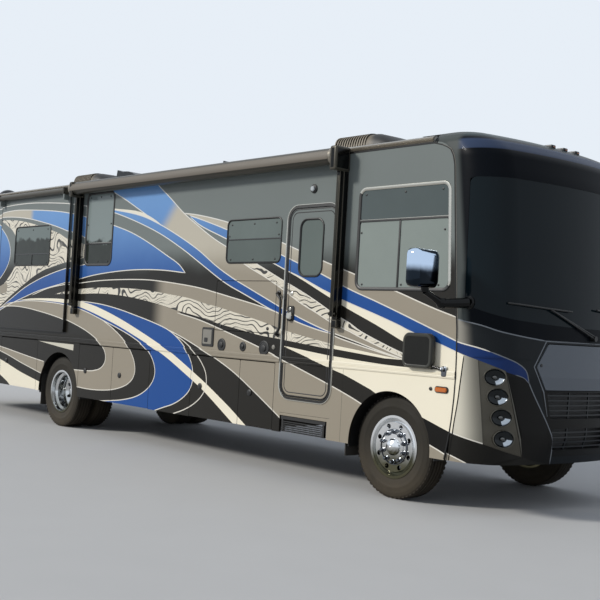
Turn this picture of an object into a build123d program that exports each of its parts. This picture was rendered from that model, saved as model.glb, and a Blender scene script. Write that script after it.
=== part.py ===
from build123d import *
import math
import os

# Motorhome on a front-engined bus chassis. Millimetres, Z up from the ground.
# X runs forward and is measured here from the front axle, the right side is -Y.

# Driving dimensions
wheelbase = 6400
nose_reach = 1360
rear_overhang = 3880
ladder_standoff = 130
body_width = 2550
skirt_bottom = 460
belt_height = 1200
wall_top = 3360
roof_edge = 3385
roof_crown = 3450
wall_thickness = 50
skirt_thickness = 30
cap_thickness = 40
door_gap = 7
seat_gap = 0.3
belt_gap = 8

half = body_width / 2
rear_face = -(wheelbase + rear_overhang)
rear_cap_depth = 220
rear_seam = rear_face + rear_cap_depth

# Wheels
tyre_radius = 490
tyre_width = 255
rim_radius = 286
rim_wall = 14
flange_height = 14
axle_height = tyre_radius
front_track_y = 1072
twin_spacing = 335
rear_outer_y = 1090
spindle_radius = 35
running_gap = 0.3
steer_lock = 35
kingpin_y = 912
kingpin_radius = 20
arch_radius_front = 530
arch_radius_rear = 550

# Chassis
rail_y = 430
rail_height = 240
rail_bottom = 660
rail_flange = 75
rail_web = 8
floor_thickness = 45
floor_top = belt_height - 5
bay_floor = skirt_bottom + 40
bay_depth = 700
post_width = 40
panel_clearance = 5

# Hinge pins of the side doors stand this far outside the panels
pin_standoff = 8


# Places along the body are written for this wheelbase. Those between the entry door and the rear wheels
# stretch with the wheelbase, those further back keep their distance from the rear axle.
drawn_wheelbase = 6400
stretch_front, stretch_rear = -1700, -5100


def station(x):
    """Place along the body for the wheelbase in use."""
    share = (stretch_front - x) / (stretch_front - stretch_rear)
    return x - (wheelbase - drawn_wheelbase) * min(1, max(0, share))


def box(x0, x1, y0, y1, z0, z1):
    """Block between two corners."""
    size = Box(abs(x1 - x0), abs(y1 - y0), abs(z1 - z0))
    return Pos((x0 + x1) / 2, (y0 + y1) / 2, (z0 + z1) / 2) * size


def rod(start, end, radius):
    """Round bar between two points."""
    path = Vector(*end) - Vector(*start)
    plane = Plane(origin=start, z_dir=path.normalized())
    return extrude(plane * Circle(radius), amount=path.length)


def outline(points, radius=0):
    """Flat face from corner points, all corners rounded alike."""
    face = make_face(Polyline(*points, close=True))
    return fillet(face.vertices(), radius) if radius else face


def side_plate(face, y_low, y_high):
    """Plate whose face is drawn in X and Z, between two Y planes."""
    return extrude(Plane.XZ.offset(-y_high) * face, amount=y_high - y_low)


def front_plate(face, x_low, x_high):
    """Plate whose face is drawn in Y and Z, between two X planes."""
    return extrude(Plane.YZ.offset(x_low) * face, amount=x_high - x_low)


def flat_plate(face, z_low, z_high):
    """Plate whose face is drawn in X and Y, between two heights."""
    return extrude(Plane.XY.offset(z_low) * face, amount=z_high - z_low)


def rectangle(a0, a1, b0, b1, radius=0):
    """Upright rectangle between two corners."""
    return outline([(a0, b0), (a1, b0), (a1, b1), (a0, b1)], radius)


def left(shape):
    """The same piece on the left side."""
    return mirror(shape, about=Plane.XZ)


def group(pieces):
    """Separate pieces of one kind in a single node."""
    return Compound([solid for piece in pieces for solid in piece.solids()])


def both(shape):
    """The piece and its mirror image."""
    return group([shape, left(shape)])


def turned(points, y_place=0, height=0):
    """Body of revolution about an axis along Y from (y, radius) points."""
    face = Plane.YZ * make_face(Polyline(*points, close=True))
    return Pos(0, y_place, height) * revolve(face, Axis.Y)


# Front cap: plan sections at these heights
# height, front reach, half width, corner radius
cap_sections = [
    (skirt_bottom, nose_reach - 90, half - 20, 380),
    (700, nose_reach - 15, half, 400),
    (1250, nose_reach, half, 400),
    (1710, nose_reach - 20, half, 400),
    (3050, nose_reach - 110, half, 380),
    (3255, nose_reach - 155, half, 360),
    (3400, nose_reach - 330, half - 25, 300),
    (3460, nose_reach - 510, half - 125, 220),
]
cap_bulge_radius = 4200
cap_rear = 300
seam_gap = seat_gap


def corner_arc(front, side, corner):
    """Centre of a corner arc and the angle at which it meets the front arc."""
    corner_y = side - corner
    reach = math.sqrt((cap_bulge_radius - corner) ** 2 - corner_y ** 2)
    return front - cap_bulge_radius + reach, corner_y, math.atan2(corner_y, reach)


def cap_plan(front, side, corner):
    """Plan outline of the cap: sides, corner arcs and one wide front arc."""
    corner_x, corner_y, turn = corner_arc(front, side, corner)

    def on_corner(angle, sign):
        return (corner_x + corner * math.cos(angle), sign * (corner_y + corner * math.sin(angle)))

    middle = (turn + math.pi / 2) / 2
    right_join, left_join = on_corner(turn, -1), on_corner(turn, 1)
    edges = [
        Line((cap_rear, -side), (corner_x, -side)),
        ThreePointArc((corner_x, -side), on_corner(middle, -1), right_join),
        ThreePointArc(right_join, (front, 0), left_join),
        ThreePointArc(left_join, on_corner(middle, 1), (corner_x, side)),
        Line((corner_x, side), (cap_rear, side)),
        Line((cap_rear, side), (cap_rear, -side)),
    ]
    return make_face(edges)


def skin_at(y, height):
    """Reach of the cap's skin at a distance from the middle and a height."""
    pairs = zip(cap_sections, cap_sections[1:])
    low, high = next(pair for pair in pairs if pair[0][0] <= height <= pair[1][0])
    share = (height - low[0]) / (high[0] - low[0])
    front, side, corner = (a + share * (b - a) for a, b in zip(low[1:], high[1:]))
    corner_x, corner_y, turn = corner_arc(front, side, corner)
    across = abs(y)
    if across > corner_y + corner * math.sin(turn):
        return corner_x + math.sqrt(corner ** 2 - (across - corner_y) ** 2)
    return front - cap_bulge_radius + math.sqrt(cap_bulge_radius ** 2 - y ** 2)


def cap_solid(inset, bottom_extra=0):
    """The cap's closed form, its skin moved inwards by inset."""
    faces = []
    last = len(cap_sections) - 1
    for index, (height, front, side, corner) in enumerate(cap_sections):
        if index == last:
            height -= inset
        if index == 0:
            height -= bottom_extra
        plan = cap_plan(front - inset, side - inset, corner - inset)
        faces.append(Plane.XY.offset(height) * plan)
    return loft(faces, ruled=True)


def ahead_of_seam(shift=0):
    """Side outline of everything ahead of the seam between walls and cap."""
    edges = [
        ThreePointArc((690 + shift, skirt_bottom - 40), (787 + shift, 1200), (745 + shift, 1900)),
        Line((745 + shift, 1900), (650 + shift, 3130)),
        ThreePointArc((650 + shift, 3130), (585 + shift, 3290), (370 + shift, wall_top)),
        Line((370 + shift, wall_top), (370 + shift, 3600)),
        Line((370 + shift, 3600), (1500, 3600)),
        Line((1500, 3600), (1500, skirt_bottom - 40)),
        Line((1500, skirt_bottom - 40), (690 + shift, skirt_bottom - 40)),
    ]
    return make_face(edges)


def seam_block(shift=0):
    return side_plate(ahead_of_seam(shift), -half - 50, half + 50)


# Windows in the walls: name, side, x rear, x front, z low, z high, corner radius, slant of the front edge
windows = [
    ("cab", "right", -530, 655, 2000, 2970, 70, 55),
    ("kitchen", "right", -2660, -1720, 2270, 2750, 60, 0),
    ("tall", "right", -5850, -5180, 2280, 3240, 80, 0),
    ("cab", "left", -530, 655, 2000, 2970, 70, 55),
    ("bath", "left", -5850, -5180, 2480, 2950, 60, 0),
    ("bedroom", "left", -7880, -6800, 2280, 2850, 60, 0),
]
windows = [(name, side, station(rear), station(front), *rest) for name, side, rear, front, *rest in windows]
# Windows in the slide-out rooms
slide_windows = {
    "right": [(station(-7880), station(-6800), 2280, 2850, 60)],
    "left": [
        (station(-4600), station(-3500), 2150, 2850, 60),
        (station(-3000), station(-2000), 2150, 2850, 60),
    ],
}
glass_thickness = 8
glass_recess = 3

# Entry door and the flap over the outside screen, right side: x rear, x front, z low, z high
entry = (-1580, -850, 850, 2830)
entry_window = (-1400, -1055, 2120, 2710)
entry_corner = 120
screen_flap = (station(-2810), station(-1750), 1500, 2060)
flap_corner = 20
door_thickness = 45

# Compartment doors in the skirts: name, side, x rear, x front
bay_low, bay_high = skirt_bottom + 5, belt_height - 22
bay_doors = [
    ("bay_door_right_1", "right", -2297, -1705),
    ("bay_door_right_2", "right", -3217, -2303),
    ("bay_door_right_3", "right", -4977, -4103),
    ("bay_door_right_4", "right", -5847, -4983),
    ("bay_door_right_5", "right", -8217, -7053),
    ("bay_door_left_1", "left", -3217, -1705),
    ("bay_door_left_2", "left", -4977, -3223),
    ("bay_door_left_3", "left", -8217, -7053),
]
bay_doors = [(name, side, station(rear), station(front)) for name, side, rear, front in bay_doors]
bay_thickness = skirt_thickness - panel_clearance
bay_gap = 6
# Closed doors lie against a soft strip of this width inside their hinged edge
seal_width = 12

# Slide-out rooms: x rear, x front, z low, z high, depth of the room, step of its outer flange
slide_rooms = {
    "right": (station(-8350), station(-6320), 1370, 3250, 640),
    "left": (station(-4900), station(-1650), 1370, 3150, 960),
}
slide_wall = 40
slide_flange = 45
slide_flange_step = 25
slide_clearance = 8


def window_outline(row, grow=0):
    name, side, rear, front, low, high, corner, slant = row
    points = [
        (rear - grow, low - grow),
        (front + grow, low - grow),
        (front - slant + grow, high + grow),
        (rear - grow, high + grow),
    ]
    return outline(points, corner + grow)


def opening(x0, x1, z0, z1, radius, grow=0):
    return rectangle(x0 - grow, x1 + grow, z0 - grow, z1 + grow, radius + grow)


# Lower wide-angle mirrors, folded flat along the wall: x centre, z centre, size along x and z
low_mirror = (375, 1425, 365, 325)
low_mirror_bracket = 285
# Grooved moulding along the foot of the walls: z low, z high, reach outside the panels
belt_moulding = (belt_height, 1262, 10)
# Assist handle behind the entry door: x, reach outside the wall, z
assist_handle = [
    (-1700, -10, 1935), (-1690, 45, 1925), (-1618, 45, 1860),
    (-1618, 45, 1550), (-1675, 45, 1495), (-1685, -10, 1490),
]
assist_handle_radius = 12


def moulding(rear, front):
    """Length of the belt moulding, proud of the right side's panels."""
    low, high, reach = belt_moulding
    strip = box(rear, front, -half - reach, -half + 1, low, high)
    for z in (low + 21, low + 41):
        strip -= box(rear - 1, front + 1, -half - reach - 1, -half - reach + 4, z - 3, z + 3)
    return strip


def side_wall(side):
    """Flat laminated wall from the belt to the roof, with its windows and doors cut."""
    blank = rectangle(rear_seam + seam_gap, 900, belt_height, wall_top)
    wall = side_plate(blank, -half, -half + wall_thickness) - seam_block(-seam_gap)
    cuts = [window_outline(row) for row in windows if row[1] == side]
    rear, front, low, high, depth = slide_rooms[side]
    cuts.append(opening(rear, front, low, high, 5, slide_clearance))
    if side == "right":
        cuts.append(opening(*entry, entry_corner, door_gap))
        cuts.append(opening(*screen_flap, flap_corner, door_gap))
    for cut in cuts:
        wall -= side_plate(cut, -half - 1, -half + wall_thickness + 1)
    belt = moulding(rear_seam + seam_gap, 900) - seam_block(-seam_gap)
    bracket_x = low_mirror[0] + low_mirror_bracket
    belt -= box(bracket_x - 26, bracket_x + 26, -half - 50, -half, belt_height, 1400)
    if side == "right":
        belt -= box(entry[0] - 45, entry[1] + 45, -half - 50, -half + 2, belt_height - 1, 1400)
    wall += belt
    if side == "right":
        points = [(x, -half - reach, z) for x, reach, z in assist_handle]
        for start, end in zip(points, points[1:]):
            wall += rod(start, end, assist_handle_radius) + Pos(*end) * Sphere(assist_handle_radius)
        seal_y = -half + door_thickness + seat_gap, -half + wall_thickness + seal_width
        wall += box(entry[1] - seal_width, entry[1] + 3 * seal_width, *seal_y,
                    entry[2] + 450, entry[3] - 150)
        wall += box(screen_flap[0] + 100, screen_flap[1] - 100, *seal_y,
                    screen_flap[3] - seal_width, screen_flap[3] + 3 * seal_width)
    return left(wall) if side == "left" else wall


def skirt(side):
    """Lower side panels below the belt, with wheel arches and door openings cut."""
    blank = rectangle(rear_seam + seam_gap, 900, skirt_bottom, belt_height - belt_gap)
    plate = side_plate(blank, -half, -half + skirt_thickness) - seam_block(-seam_gap)
    cuts = [
        Pos(0, axle_height) * Circle(arch_radius_front),
        Pos(-wheelbase, axle_height) * Circle(arch_radius_rear),
    ]
    for name, door_side, rear, front in bay_doors:
        if door_side == side:
            cuts.append(rectangle(rear - bay_gap, front + bay_gap, skirt_bottom - 1, belt_height))
    if side == "right":
        cuts.append(opening(*entry, entry_corner, door_gap))
        step_low, step_high = step_place[2], step_place[3]
        cuts.append(rectangle(entry[0], entry[1], step_low - 1, step_high))
    for cut in cuts:
        plate -= side_plate(cut, -half - 1, -half + skirt_thickness + 1)
    return left(plate) if side == "left" else plate


# Entry step, folded up under the door: x rear, x front, z low, z high
step_place = (-1570, -870, skirt_bottom, 640)
step_slats = 6


def entry_step():
    """Black slatted step, folded into its recess."""
    rear, front, low, high = step_place
    y_out, y_in = -half + 5, -half + 330
    frame = box(rear + 6, front - 6, y_out, y_in, high - 40, high - 6)
    pitch = (high - 50 - low - 10) / step_slats
    tread = box(rear + 20, rear + 45, y_out, y_out + 30, low + 10, high - 38)
    tread += box(front - 45, front - 20, y_out, y_out + 30, low + 10, high - 38)
    for index in range(step_slats):
        z = low + 12 + index * pitch
        tread += box(rear + 20, front - 20, y_out, y_out + 24, z, z + pitch * 0.55)
    for x in (rear + 50, front - 50):
        frame += box(x - 15, x + 15, y_in - 80, y_in - 20, high - 20, stairwell_low - seat_gap)
    return frame + tread


# Stairwell behind the entry door: underside of its tread, thickness, depth from the wall
stairwell_low, stairwell_sheet, stairwell_depth = 810, 15, 420


def roof(grow=0):
    """Crowned roof with rounded edges, or the same form a little higher."""
    edge, low = half - 50, roof_edge + grow
    section = make_face([
        Line((-half, wall_top), (half, wall_top)),
        Line((half, wall_top), (half, low)),
        ThreePointArc((half, low), (half - 15, low + 30), (edge, low + 40)),
        ThreePointArc((edge, low + 40), (0, roof_crown + grow), (-edge, low + 40)),
        ThreePointArc((-edge, low + 40), (-half + 15, low + 30), (-half, low)),
        Line((-half, low), (-half, wall_top)),
    ])
    return front_plate(section, rear_seam + seam_gap - grow, 370 - seam_gap + grow)


# Two screw holes for the number plate
plate_hole_spacing = 177.8
plate_hole_radius = 3.5
plate_height = 960


def rear_wall():
    """Moulded rear cap: a shallow tray with rounded upright corners."""
    corner, inner = 120, 80
    outer = flat_plate(rear_plan(0, corner), skirt_bottom + 60, wall_top + 60)
    top_edges = outer.faces().sort_by(Axis.Z)[-1].edges().filter_by(lambda e: e.center().X < rear_seam - 5)
    outer = fillet(top_edges, 60)
    shell = outer - flat_plate(rear_plan(cap_thickness, inner), 0, wall_top)
    for sign in (-1, 1):
        hole_y = sign * plate_hole_spacing / 2
        hole_end = rear_face + cap_thickness + 1
        start, end = (rear_face - 1, hole_y, plate_height), (hole_end, hole_y, plate_height)
        shell -= rod(start, end, plate_hole_radius)
    return shell


def rear_plan(inset, corner):
    face = rectangle(rear_face + inset, rear_seam, -half + inset, half - inset)
    corners = face.vertices().sort_by(Axis.X)[:2]
    return fillet(corners, corner)


# Windshield, drawn in side view and carried round both corners: x, z
windshield_outline = [(845, 1865), (1460, 1670), (1460, 3010), (832, 3010)]
windshield_corner = 60

# Hood, grille and air intake in front view: y, z on the right half, mirrored
hood_outline = [(620, 1549), (763, 1342), (641, 1138)]
grille_outline = [(625, 1118), (560, 880)]
intake_outline = [(540, 790), (470, 590)]
grille_bar_pitch = 45
grille_bar = 14
hood_thickness = 25


def mirrored(points):
    """Closed outline from its right half."""
    return [(-y, z) for y, z in points] + [(y, z) for y, z in reversed(points)]


def windshield_region(grow=0):
    face = outline(windshield_outline, windshield_corner)
    if grow:
        face = offset(face, grow)
    return side_plate(face, -half - 50, half + 50)


def front_region(points, grow=0, corner=25):
    face = outline(mirrored(points), corner)
    if grow:
        face = offset(face, grow)
    return front_plate(face, 900, nose_reach + 140)


# Lamp panel on each front corner, drawn on a plane square to the corner: w along the plane, z up
corner_place = (1130, -1130)
lamp_panel = [(-170, 1378), (75, 1297), (280, 532), (-92, 642)]
# Lamps down the panel: w, z
lamps = [(-18, 1235), (16, 1065), (57, 885), (86, 699)]
lamp_radius = 78
bezel_thickness = 18


def corner_block(face):
    """Block square to the right front corner, from a face drawn on its plane."""
    step = 300 / math.sqrt(2)
    origin = (corner_place[0] - step, corner_place[1] + step, 0)
    plane = Plane(origin=origin, x_dir=(1, 1, 0), z_dir=(1, -1, 0))
    return extrude(plane * face, amount=600)


def lamp_plane(w, z):
    """Plane on the corner's skin at a lamp, its normal outwards."""
    front, side, corner = cap_sections[2][1:]
    centre_x, centre_y, turn = corner_arc(front, side, corner)
    centre_w = (centre_x - corner_place[0] - centre_y - corner_place[1]) / math.sqrt(2)
    angle = math.asin((w - centre_w) / corner) - math.pi / 4
    out = (math.cos(angle), math.sin(angle), 0)
    origin = (centre_x + corner * out[0], -centre_y + corner * out[1], z)
    return Plane(origin=origin, x_dir=(-out[1], out[0], 0), z_dir=out)


def front_cap(outer):
    """Moulded cap: lofted skin with openings for glass, hood, grilles and lamps."""
    shell = outer - cap_solid(cap_thickness, bottom_extra=1)
    shell = shell & seam_block()
    shell -= windshield_region()
    shell -= front_region(hood_outline, door_gap)
    shell -= front_region(grille_outline)
    shell -= front_region(intake_outline)
    lamp_cut = corner_block(outline(lamp_panel, 15))
    shell -= lamp_cut
    shell -= left(lamp_cut)
    top_y, top_z = hood_outline[0]
    strip = box(900, 1500, -top_y + 60, top_y - 60, top_z - seal_width, top_z + 2 * seal_width)
    return shell + (strip & (cap_solid(hood_thickness + seat_gap) - cap_solid(cap_thickness)))


def headlamps(outer):
    """A bezel in each front corner with a column of four round lamps in bowls."""
    skin = outer - cap_solid(bezel_thickness)
    bezel = skin & corner_block(offset(outline(lamp_panel, 15), -seat_gap))
    for w, z in lamps:
        place = lamp_plane(w, z)
        bezel += place * Pos(0, 0, -20) * Cylinder(lamp_radius + 5, 36)
        bezel -= place * Pos(0, 0, 35) * Cylinder(lamp_radius, 100)
        bezel += place * Pos(0, 0, -22) * Cylinder(lamp_radius * 0.55, 24)
    return both(bezel)


def grille():
    """Slim bars across the opening below the hood and across the air intake."""
    band = cap_solid(16) - cap_solid(30)
    total = None
    for points in (grille_outline, intake_outline):
        high, low = points[0][1], points[1][1]
        opening_block = front_region(points, -seat_gap)
        bars = None
        z = low + grille_bar_pitch / 2
        while z < high:
            slab = box(900, 1400, -half, half, z, z + grille_bar)
            bars = slab if bars is None else bars + slab
            z += grille_bar_pitch
        for y in (-300, 0, 300):
            bars += box(900, 1400, y - 7, y + 7, low - 5, high + 5)
        piece = band & bars & opening_block
        total = piece if total is None else total + piece
    return total


def hood(outer):
    """Flap over the engine service bay, hinged along its top edge."""
    panel = (outer - cap_solid(hood_thickness)) & front_region(hood_outline)
    return panel


def windshield():
    """One pane that wraps round both corners."""
    filled = cap_solid(glass_recess) & windshield_region(-seat_gap)
    return filled - cap_solid(glass_recess + glass_thickness)


def pane(face, grow=-seat_gap):
    """Flush side pane a little inside its opening."""
    return side_plate(offset(face, grow), -half + glass_recess, -half + glass_recess + glass_thickness)


def side_windows():
    panes = []
    for row in windows:
        piece = pane(window_outline(row))
        panes.append(left(piece) if row[1] == "left" else piece)
    return group(panes)


def hung_door(x0, x1, z0, z1, corner, thickness):
    """Door panel drawn closed on the right side."""
    return side_plate(opening(x0, x1, z0, z1, corner), -half, -half + thickness)


def entry_door():
    door = hung_door(*entry, entry_corner, door_thickness)
    door -= side_plate(opening(*entry_window, 90), -half - 1, -half + door_thickness + 1)
    rear = entry[0]
    latch = Pos(rear + 90, -half, 1720) * Rot(90, 0, 0) * Cylinder(38, 24)
    handle = box(rear + 72, rear + 108, -half - 34, -half - 4, 1640, 1700)
    return door + latch + handle + moulding(rear + 12, entry[1] - 12)


def bay_door(rear, front):
    panel = side_plate(rectangle(rear, front, bay_low, bay_high, 12), -half, -half + bay_thickness)
    latch = Pos(rear + 190, -half - 3, 830) * Rot(90, 0, 0) * Cylinder(26, 10)
    return panel + latch


def slide_room(side):
    """Slide-out room: hollow box with a flanged outer face and the roller of its topper."""
    rear, front, low, high, depth = slide_rooms[side]
    y_face = -half - slide_flange_step
    body = box(rear, front, y_face, -half + depth, low, high)
    body -= box(rear + slide_wall, front - slide_wall, y_face + slide_wall, -half + depth + 1,
                low + slide_wall, high - slide_wall)
    flange_face = rectangle(rear - slide_flange, front + slide_flange,
                            low - slide_flange, high + slide_flange, 8)
    flange = side_plate(flange_face, y_face - 15, -half - seat_gap)
    flange -= side_plate(rectangle(rear + 1, front - 1, low + 1, high - 1), y_face + 1, -half)
    room = body + flange
    for x0, x1, z0, z1, corner in slide_windows[side]:
        room -= side_plate(opening(x0, x1, z0, z1, corner), y_face - 20, y_face + slide_wall + 1)
    roller_z = high + slide_flange + 20
    roller_y = y_face - 75
    roller = Pos((rear + front) / 2, roller_y, roller_z) * Rot(0, 90, 0) * Cylinder(38, front - rear - 60)
    room += roller
    for x in (rear + 20, front - 20):
        room += box(x - 18, x + 18, roller_y - 20, y_face - 10, high - 60, roller_z + 20)
    return left(room) if side == "left" else room


def slide_glass(side):
    panes = []
    y_face = -half - slide_flange_step
    for x0, x1, z0, z1, corner in slide_windows[side]:
        face = offset(opening(x0, x1, z0, z1, corner), -seat_gap)
        y_glass = y_face - 15 + glass_recess
        panes.append(side_plate(face, y_glass, y_glass + glass_thickness))
    shape = group(panes)
    return left(shape) if side == "left" else shape


def chassis_frame():
    """Two channel rails, crossmembers and the risers that carry the floor."""
    rail_front, rail_rear = 980, rear_face + 160
    top = rail_bottom + rail_height
    rail = box(rail_rear, rail_front, -rail_y, -rail_y + rail_flange, rail_bottom, top)
    rail -= box(rail_rear - 1, rail_front + 1, -rail_y + rail_web, -rail_y + rail_flange + 1,
                rail_bottom + rail_web, top - rail_web)
    frame = rail + left(rail)
    inner = rail_y - rail_web
    for x in crossmember_places:
        frame += box(x - 40, x + 40, -inner, inner, rail_bottom + 20, top - 20)
    for x in riser_places:
        for sign in (-1, 1):
            y = sign * (rail_y - rail_flange / 2)
            frame += box(x - 30, x + 30, y - 30, y + 30, top - 1, floor_top - floor_thickness)
    for sign in (-1, 1):
        y0, y1 = sign * (rail_y - rail_flange), sign * rail_y
        frame += box(rail_front - 30, rail_front + 120, y0, y1, rail_bottom + 40, top - 40)
        mount_y = sign * (engine_size[1] / 2 + seat_gap), sign * (rail_y - rail_web / 2)
        frame += box(engine_place[0] - 40, engine_place[0] + 40, *mount_y,
                     rail_bottom + 120, rail_bottom + 160)
    return frame


crossmember_places = [station(x) for x in (900, -900, -2500, -4300, -5600, -7300, -8700, -9900)]
riser_places = [station(x) for x in (500, -1200, -2600, -4000, -5500, -7400, -8800, -9700)]


footwell_front = 950


def floor_deck():
    """Floor of the coach, notched over the stairwell and narrowed in the cab."""
    low, inner = floor_top - floor_thickness, half - wall_thickness
    deck = box(rear_seam, 640, -inner, inner, low, floor_top)
    deck += box(630, footwell_front, -inner + 25, inner - 25, low, floor_top)
    return deck - box(entry[0], entry[1], -inner - 1, -inner + stairwell_depth, low - 1, floor_top + 1)


def entry_stairwell():
    """Sheet tub under the floor behind the entry door, open to the door and upwards."""
    rear, front = entry[0], entry[1]
    y_out = -half + wall_thickness
    y_in, top = y_out + stairwell_depth, floor_top - floor_thickness - seat_gap
    sheet = stairwell_sheet
    tub = box(rear - sheet, front + sheet, y_out, y_in + sheet, stairwell_low, top)
    return tub - box(rear, front, y_out - 1, y_in, stairwell_low + sheet, top + 1)


def luggage_bays():
    """Sheet bays hung under the floor behind their doors, and the posts that carry the skirts."""
    pieces = []
    top = floor_top - floor_thickness - seat_gap
    y_out, y_in = half - skirt_thickness, half - bay_depth
    for side, rear, front, rear_wall_width, front_wall_width in luggage_bay_table:
        bay = box(rear + seat_gap, front - seat_gap, -y_out, -y_in, bay_floor, top)
        bay -= box(rear + rear_wall_width, front - front_wall_width, -y_out - 1, -y_in - bay_sheet,
                   bay_floor + bay_sheet, top + 1)
        for name, door_side, door_rear, door_front in bay_doors:
            if door_side == side and rear < door_front - 2 <= front:
                bay += box(door_front - seal_width - 2, door_front - 2, -half + bay_thickness + seat_gap,
                           -y_out + 1, bay_floor + 20, bay_high - 20)
        pieces.append(left(bay) if side == "left" else bay)
    for side, x in skirt_posts:
        post = box(x - post_width / 2, x + post_width / 2, -y_out, -y_in, bay_floor, top)
        pieces.append(left(post) if side == "left" else post)
    return group(pieces)


# Luggage bays: side, x rear, x front, width of the rear and of the front wall
luggage_bay_table = [
    ("right", -2300, -1700, 20, 40),
    ("right", -3240, -2300, 40, 20),
    ("right", -4980, -4080, 20, 40),
    ("right", -5860, -4980, 40, 20),
    ("right", -8220, -7040, 40, 40),
    ("left", -3220, -1700, 20, 40),
    ("left", -4980, -3220, 40, 20),
    ("left", -8220, -7040, 40, 40),
]
bay_sheet = 15
luggage_bay_table = [(side, station(rear), station(front), *walls)
                     for side, rear, front, *walls in luggage_bay_table]
skirt_posts = [("right", station(-9300)), ("left", station(-5840)), ("left", station(-9300))]



def front_axle():
    """Dropped beam between the kingpins, with its leaf springs."""
    beam_end = kingpin_y - 35
    z = axle_height
    beam = box(-40, 40, -620, 620, z - 100, z - 20)
    for sign in (-1, 1):
        arm = Plane.YZ.offset(-35) * make_face(Polyline(
            (sign * 560, z - 100), (sign * beam_end, z - 40), (sign * beam_end, z + 40),
            (sign * 560, z - 20), close=True))
        beam += extrude(arm, amount=70)
        eye = Pos(0, sign * kingpin_y, z) * Cylinder(45, 90)
        pin = Pos(0, sign * kingpin_y, z) * Cylinder(kingpin_radius, 230)
        beam += eye + pin
        beam += leaf_spring(0, sign * (rail_y - rail_flange / 2), z - 20, 1300)
    return beam


def leaf_spring(x, y, low, length):
    """Bowed leaf stack from the axle seat up to the rail at both ends."""
    top = rail_bottom
    seat = box(x - 60, x + 60, y - 32, y + 32, low - 1, low + 45)
    rise = top - (low + 45)
    leaf_count, leaf = 3, 14
    for index in range(leaf_count):
        reach = length / 2 * (1 - 0.22 * index)
        drop = 14 * index
        lift = rise * (1 - 0.22 * index) ** 2
        end, middle = top - rise + lift - drop, low + 45 - drop
        lower = ThreePointArc((x - reach, end), (x, middle), (x + reach, end))
        upper = ThreePointArc((x + reach, end + leaf), (x, middle + leaf), (x - reach, end + leaf))
        face = make_face([
            lower,
            Line(lower @ 1, upper @ 0),
            upper,
            Line(upper @ 1, lower @ 0),
        ])
        seat += side_plate(face, y - 30, y + 30)
    trim = box(x - length, x + length, y - 40, y + 40, top, top + 300)
    return seat - trim


def knuckle(side_sign):
    """Steering knuckle: fork round the axle's eye, spindle for the hub and the tie rod's arm."""
    z = axle_height
    lug_low, lug_high = 55, 115
    lug = Cylinder(44, lug_high - lug_low)
    web_in, web_out = 51, 80
    body = None
    for sign in (-1, 1):
        piece = Pos(0, -kingpin_y, z + sign * (lug_low + lug_high) / 2) * lug
        piece += box(-44, 44, -kingpin_y - web_out, -kingpin_y,
                     z + min(sign * lug_low, sign * lug_high), z + max(sign * lug_low, sign * lug_high))
        body = piece if body is None else body + piece
    body += box(-44, 44, -kingpin_y - web_out, -kingpin_y - web_in, z - lug_high, z + lug_high)
    body += box(-tie_back - 22, 20, -kingpin_y - 18, -kingpin_y + 18, z - lug_high + 8, z - lug_low - 8)
    body -= Pos(0, -kingpin_y, z) * Cylinder(kingpin_radius + running_gap, 400)
    body -= Pos(-tie_back, -kingpin_y, z - 85) * Cylinder(tie_pin_radius + running_gap, 100)
    spindle_end = hub_outer
    body += rod((0, -kingpin_y - web_out + 2, z), (0, -spindle_end, z), spindle_radius)
    return left(body) if side_sign > 0 else body


# The steering arms reach straight back, so that the tie rod keeps its length at every angle
tie_back = 180
tie_pin_radius = 10
hub_outer = 1150


def tie_rod():
    """Rod between the steering arms, with a pin down through each arm."""
    z = axle_height - 140
    bar = rod((-tie_back, -kingpin_y, z), (-tie_back, kingpin_y, z), 16)
    for sign in (-1, 1):
        bar += Pos(-tie_back, sign * kingpin_y, z + 30) * Cylinder(tie_pin_radius, 90)
        bar += Pos(-tie_back, sign * kingpin_y, z) * Cylinder(21, 40)
    return bar


def tyre(y_place):
    """Road tyre with rounded shoulders, its axis along Y."""
    w, r, bead = tyre_width / 2, tyre_radius, rim_radius + seat_gap
    flange = rim_radius + flange_height + 2
    profile = make_face([
        Line((-w + 25, bead), (w - 25, bead)),
        Line((w - 25, bead), (w - 25, flange)),
        ThreePointArc((w - 25, flange), (w, (r + bead) / 2), (w - 22, r - 30)),
        ThreePointArc((w - 22, r - 30), (w - 30, r - 10), (w - 48, r - 3)),
        ThreePointArc((w - 48, r - 3), (0, r), (-w + 48, r - 3)),
        ThreePointArc((-w + 48, r - 3), (-w + 30, r - 10), (-w + 22, r - 30)),
        ThreePointArc((-w + 22, r - 30), (-w, (r + bead) / 2), (-w + 25, flange)),
        Line((-w + 25, flange), (-w + 25, bead)),
    ])
    return Pos(0, y_place, axle_height) * revolve(Plane.YZ * profile, Axis.Y)


def rim_barrel(y_place):
    """Drop-centre rim between its two flanges."""
    w, r, t = tyre_width / 2 - 22, rim_radius, rim_wall
    lip = r + flange_height
    points = [
        (-w - 14, lip), (-w, lip), (-w, r), (-w + 50, r - 6), (-30, r - 34), (30, r - 34),
        (w - 50, r - 6), (w, r), (w, lip), (w + 14, lip), (w + 14, r - t + 4), (w - 40, r - t - 8),
        (40, r - 34 - t), (-40, r - 34 - t), (-w + 40, r - t - 8), (-w - 14, r - t + 4),
    ]
    return turned(points, y_place, axle_height)


def hand_holes(disc, y_place, ring_radius, hole_radius, count=8):
    """Round holes through a wheel disc on one circle."""
    for index in range(count):
        angle = 2 * math.pi * (index + 0.5) / count
        x, z = ring_radius * math.cos(angle), ring_radius * math.sin(angle)
        disc -= Pos(x, y_place, axle_height + z) * Rot(90, 0, 0) * Cylinder(hole_radius, 120)
    return disc


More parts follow.
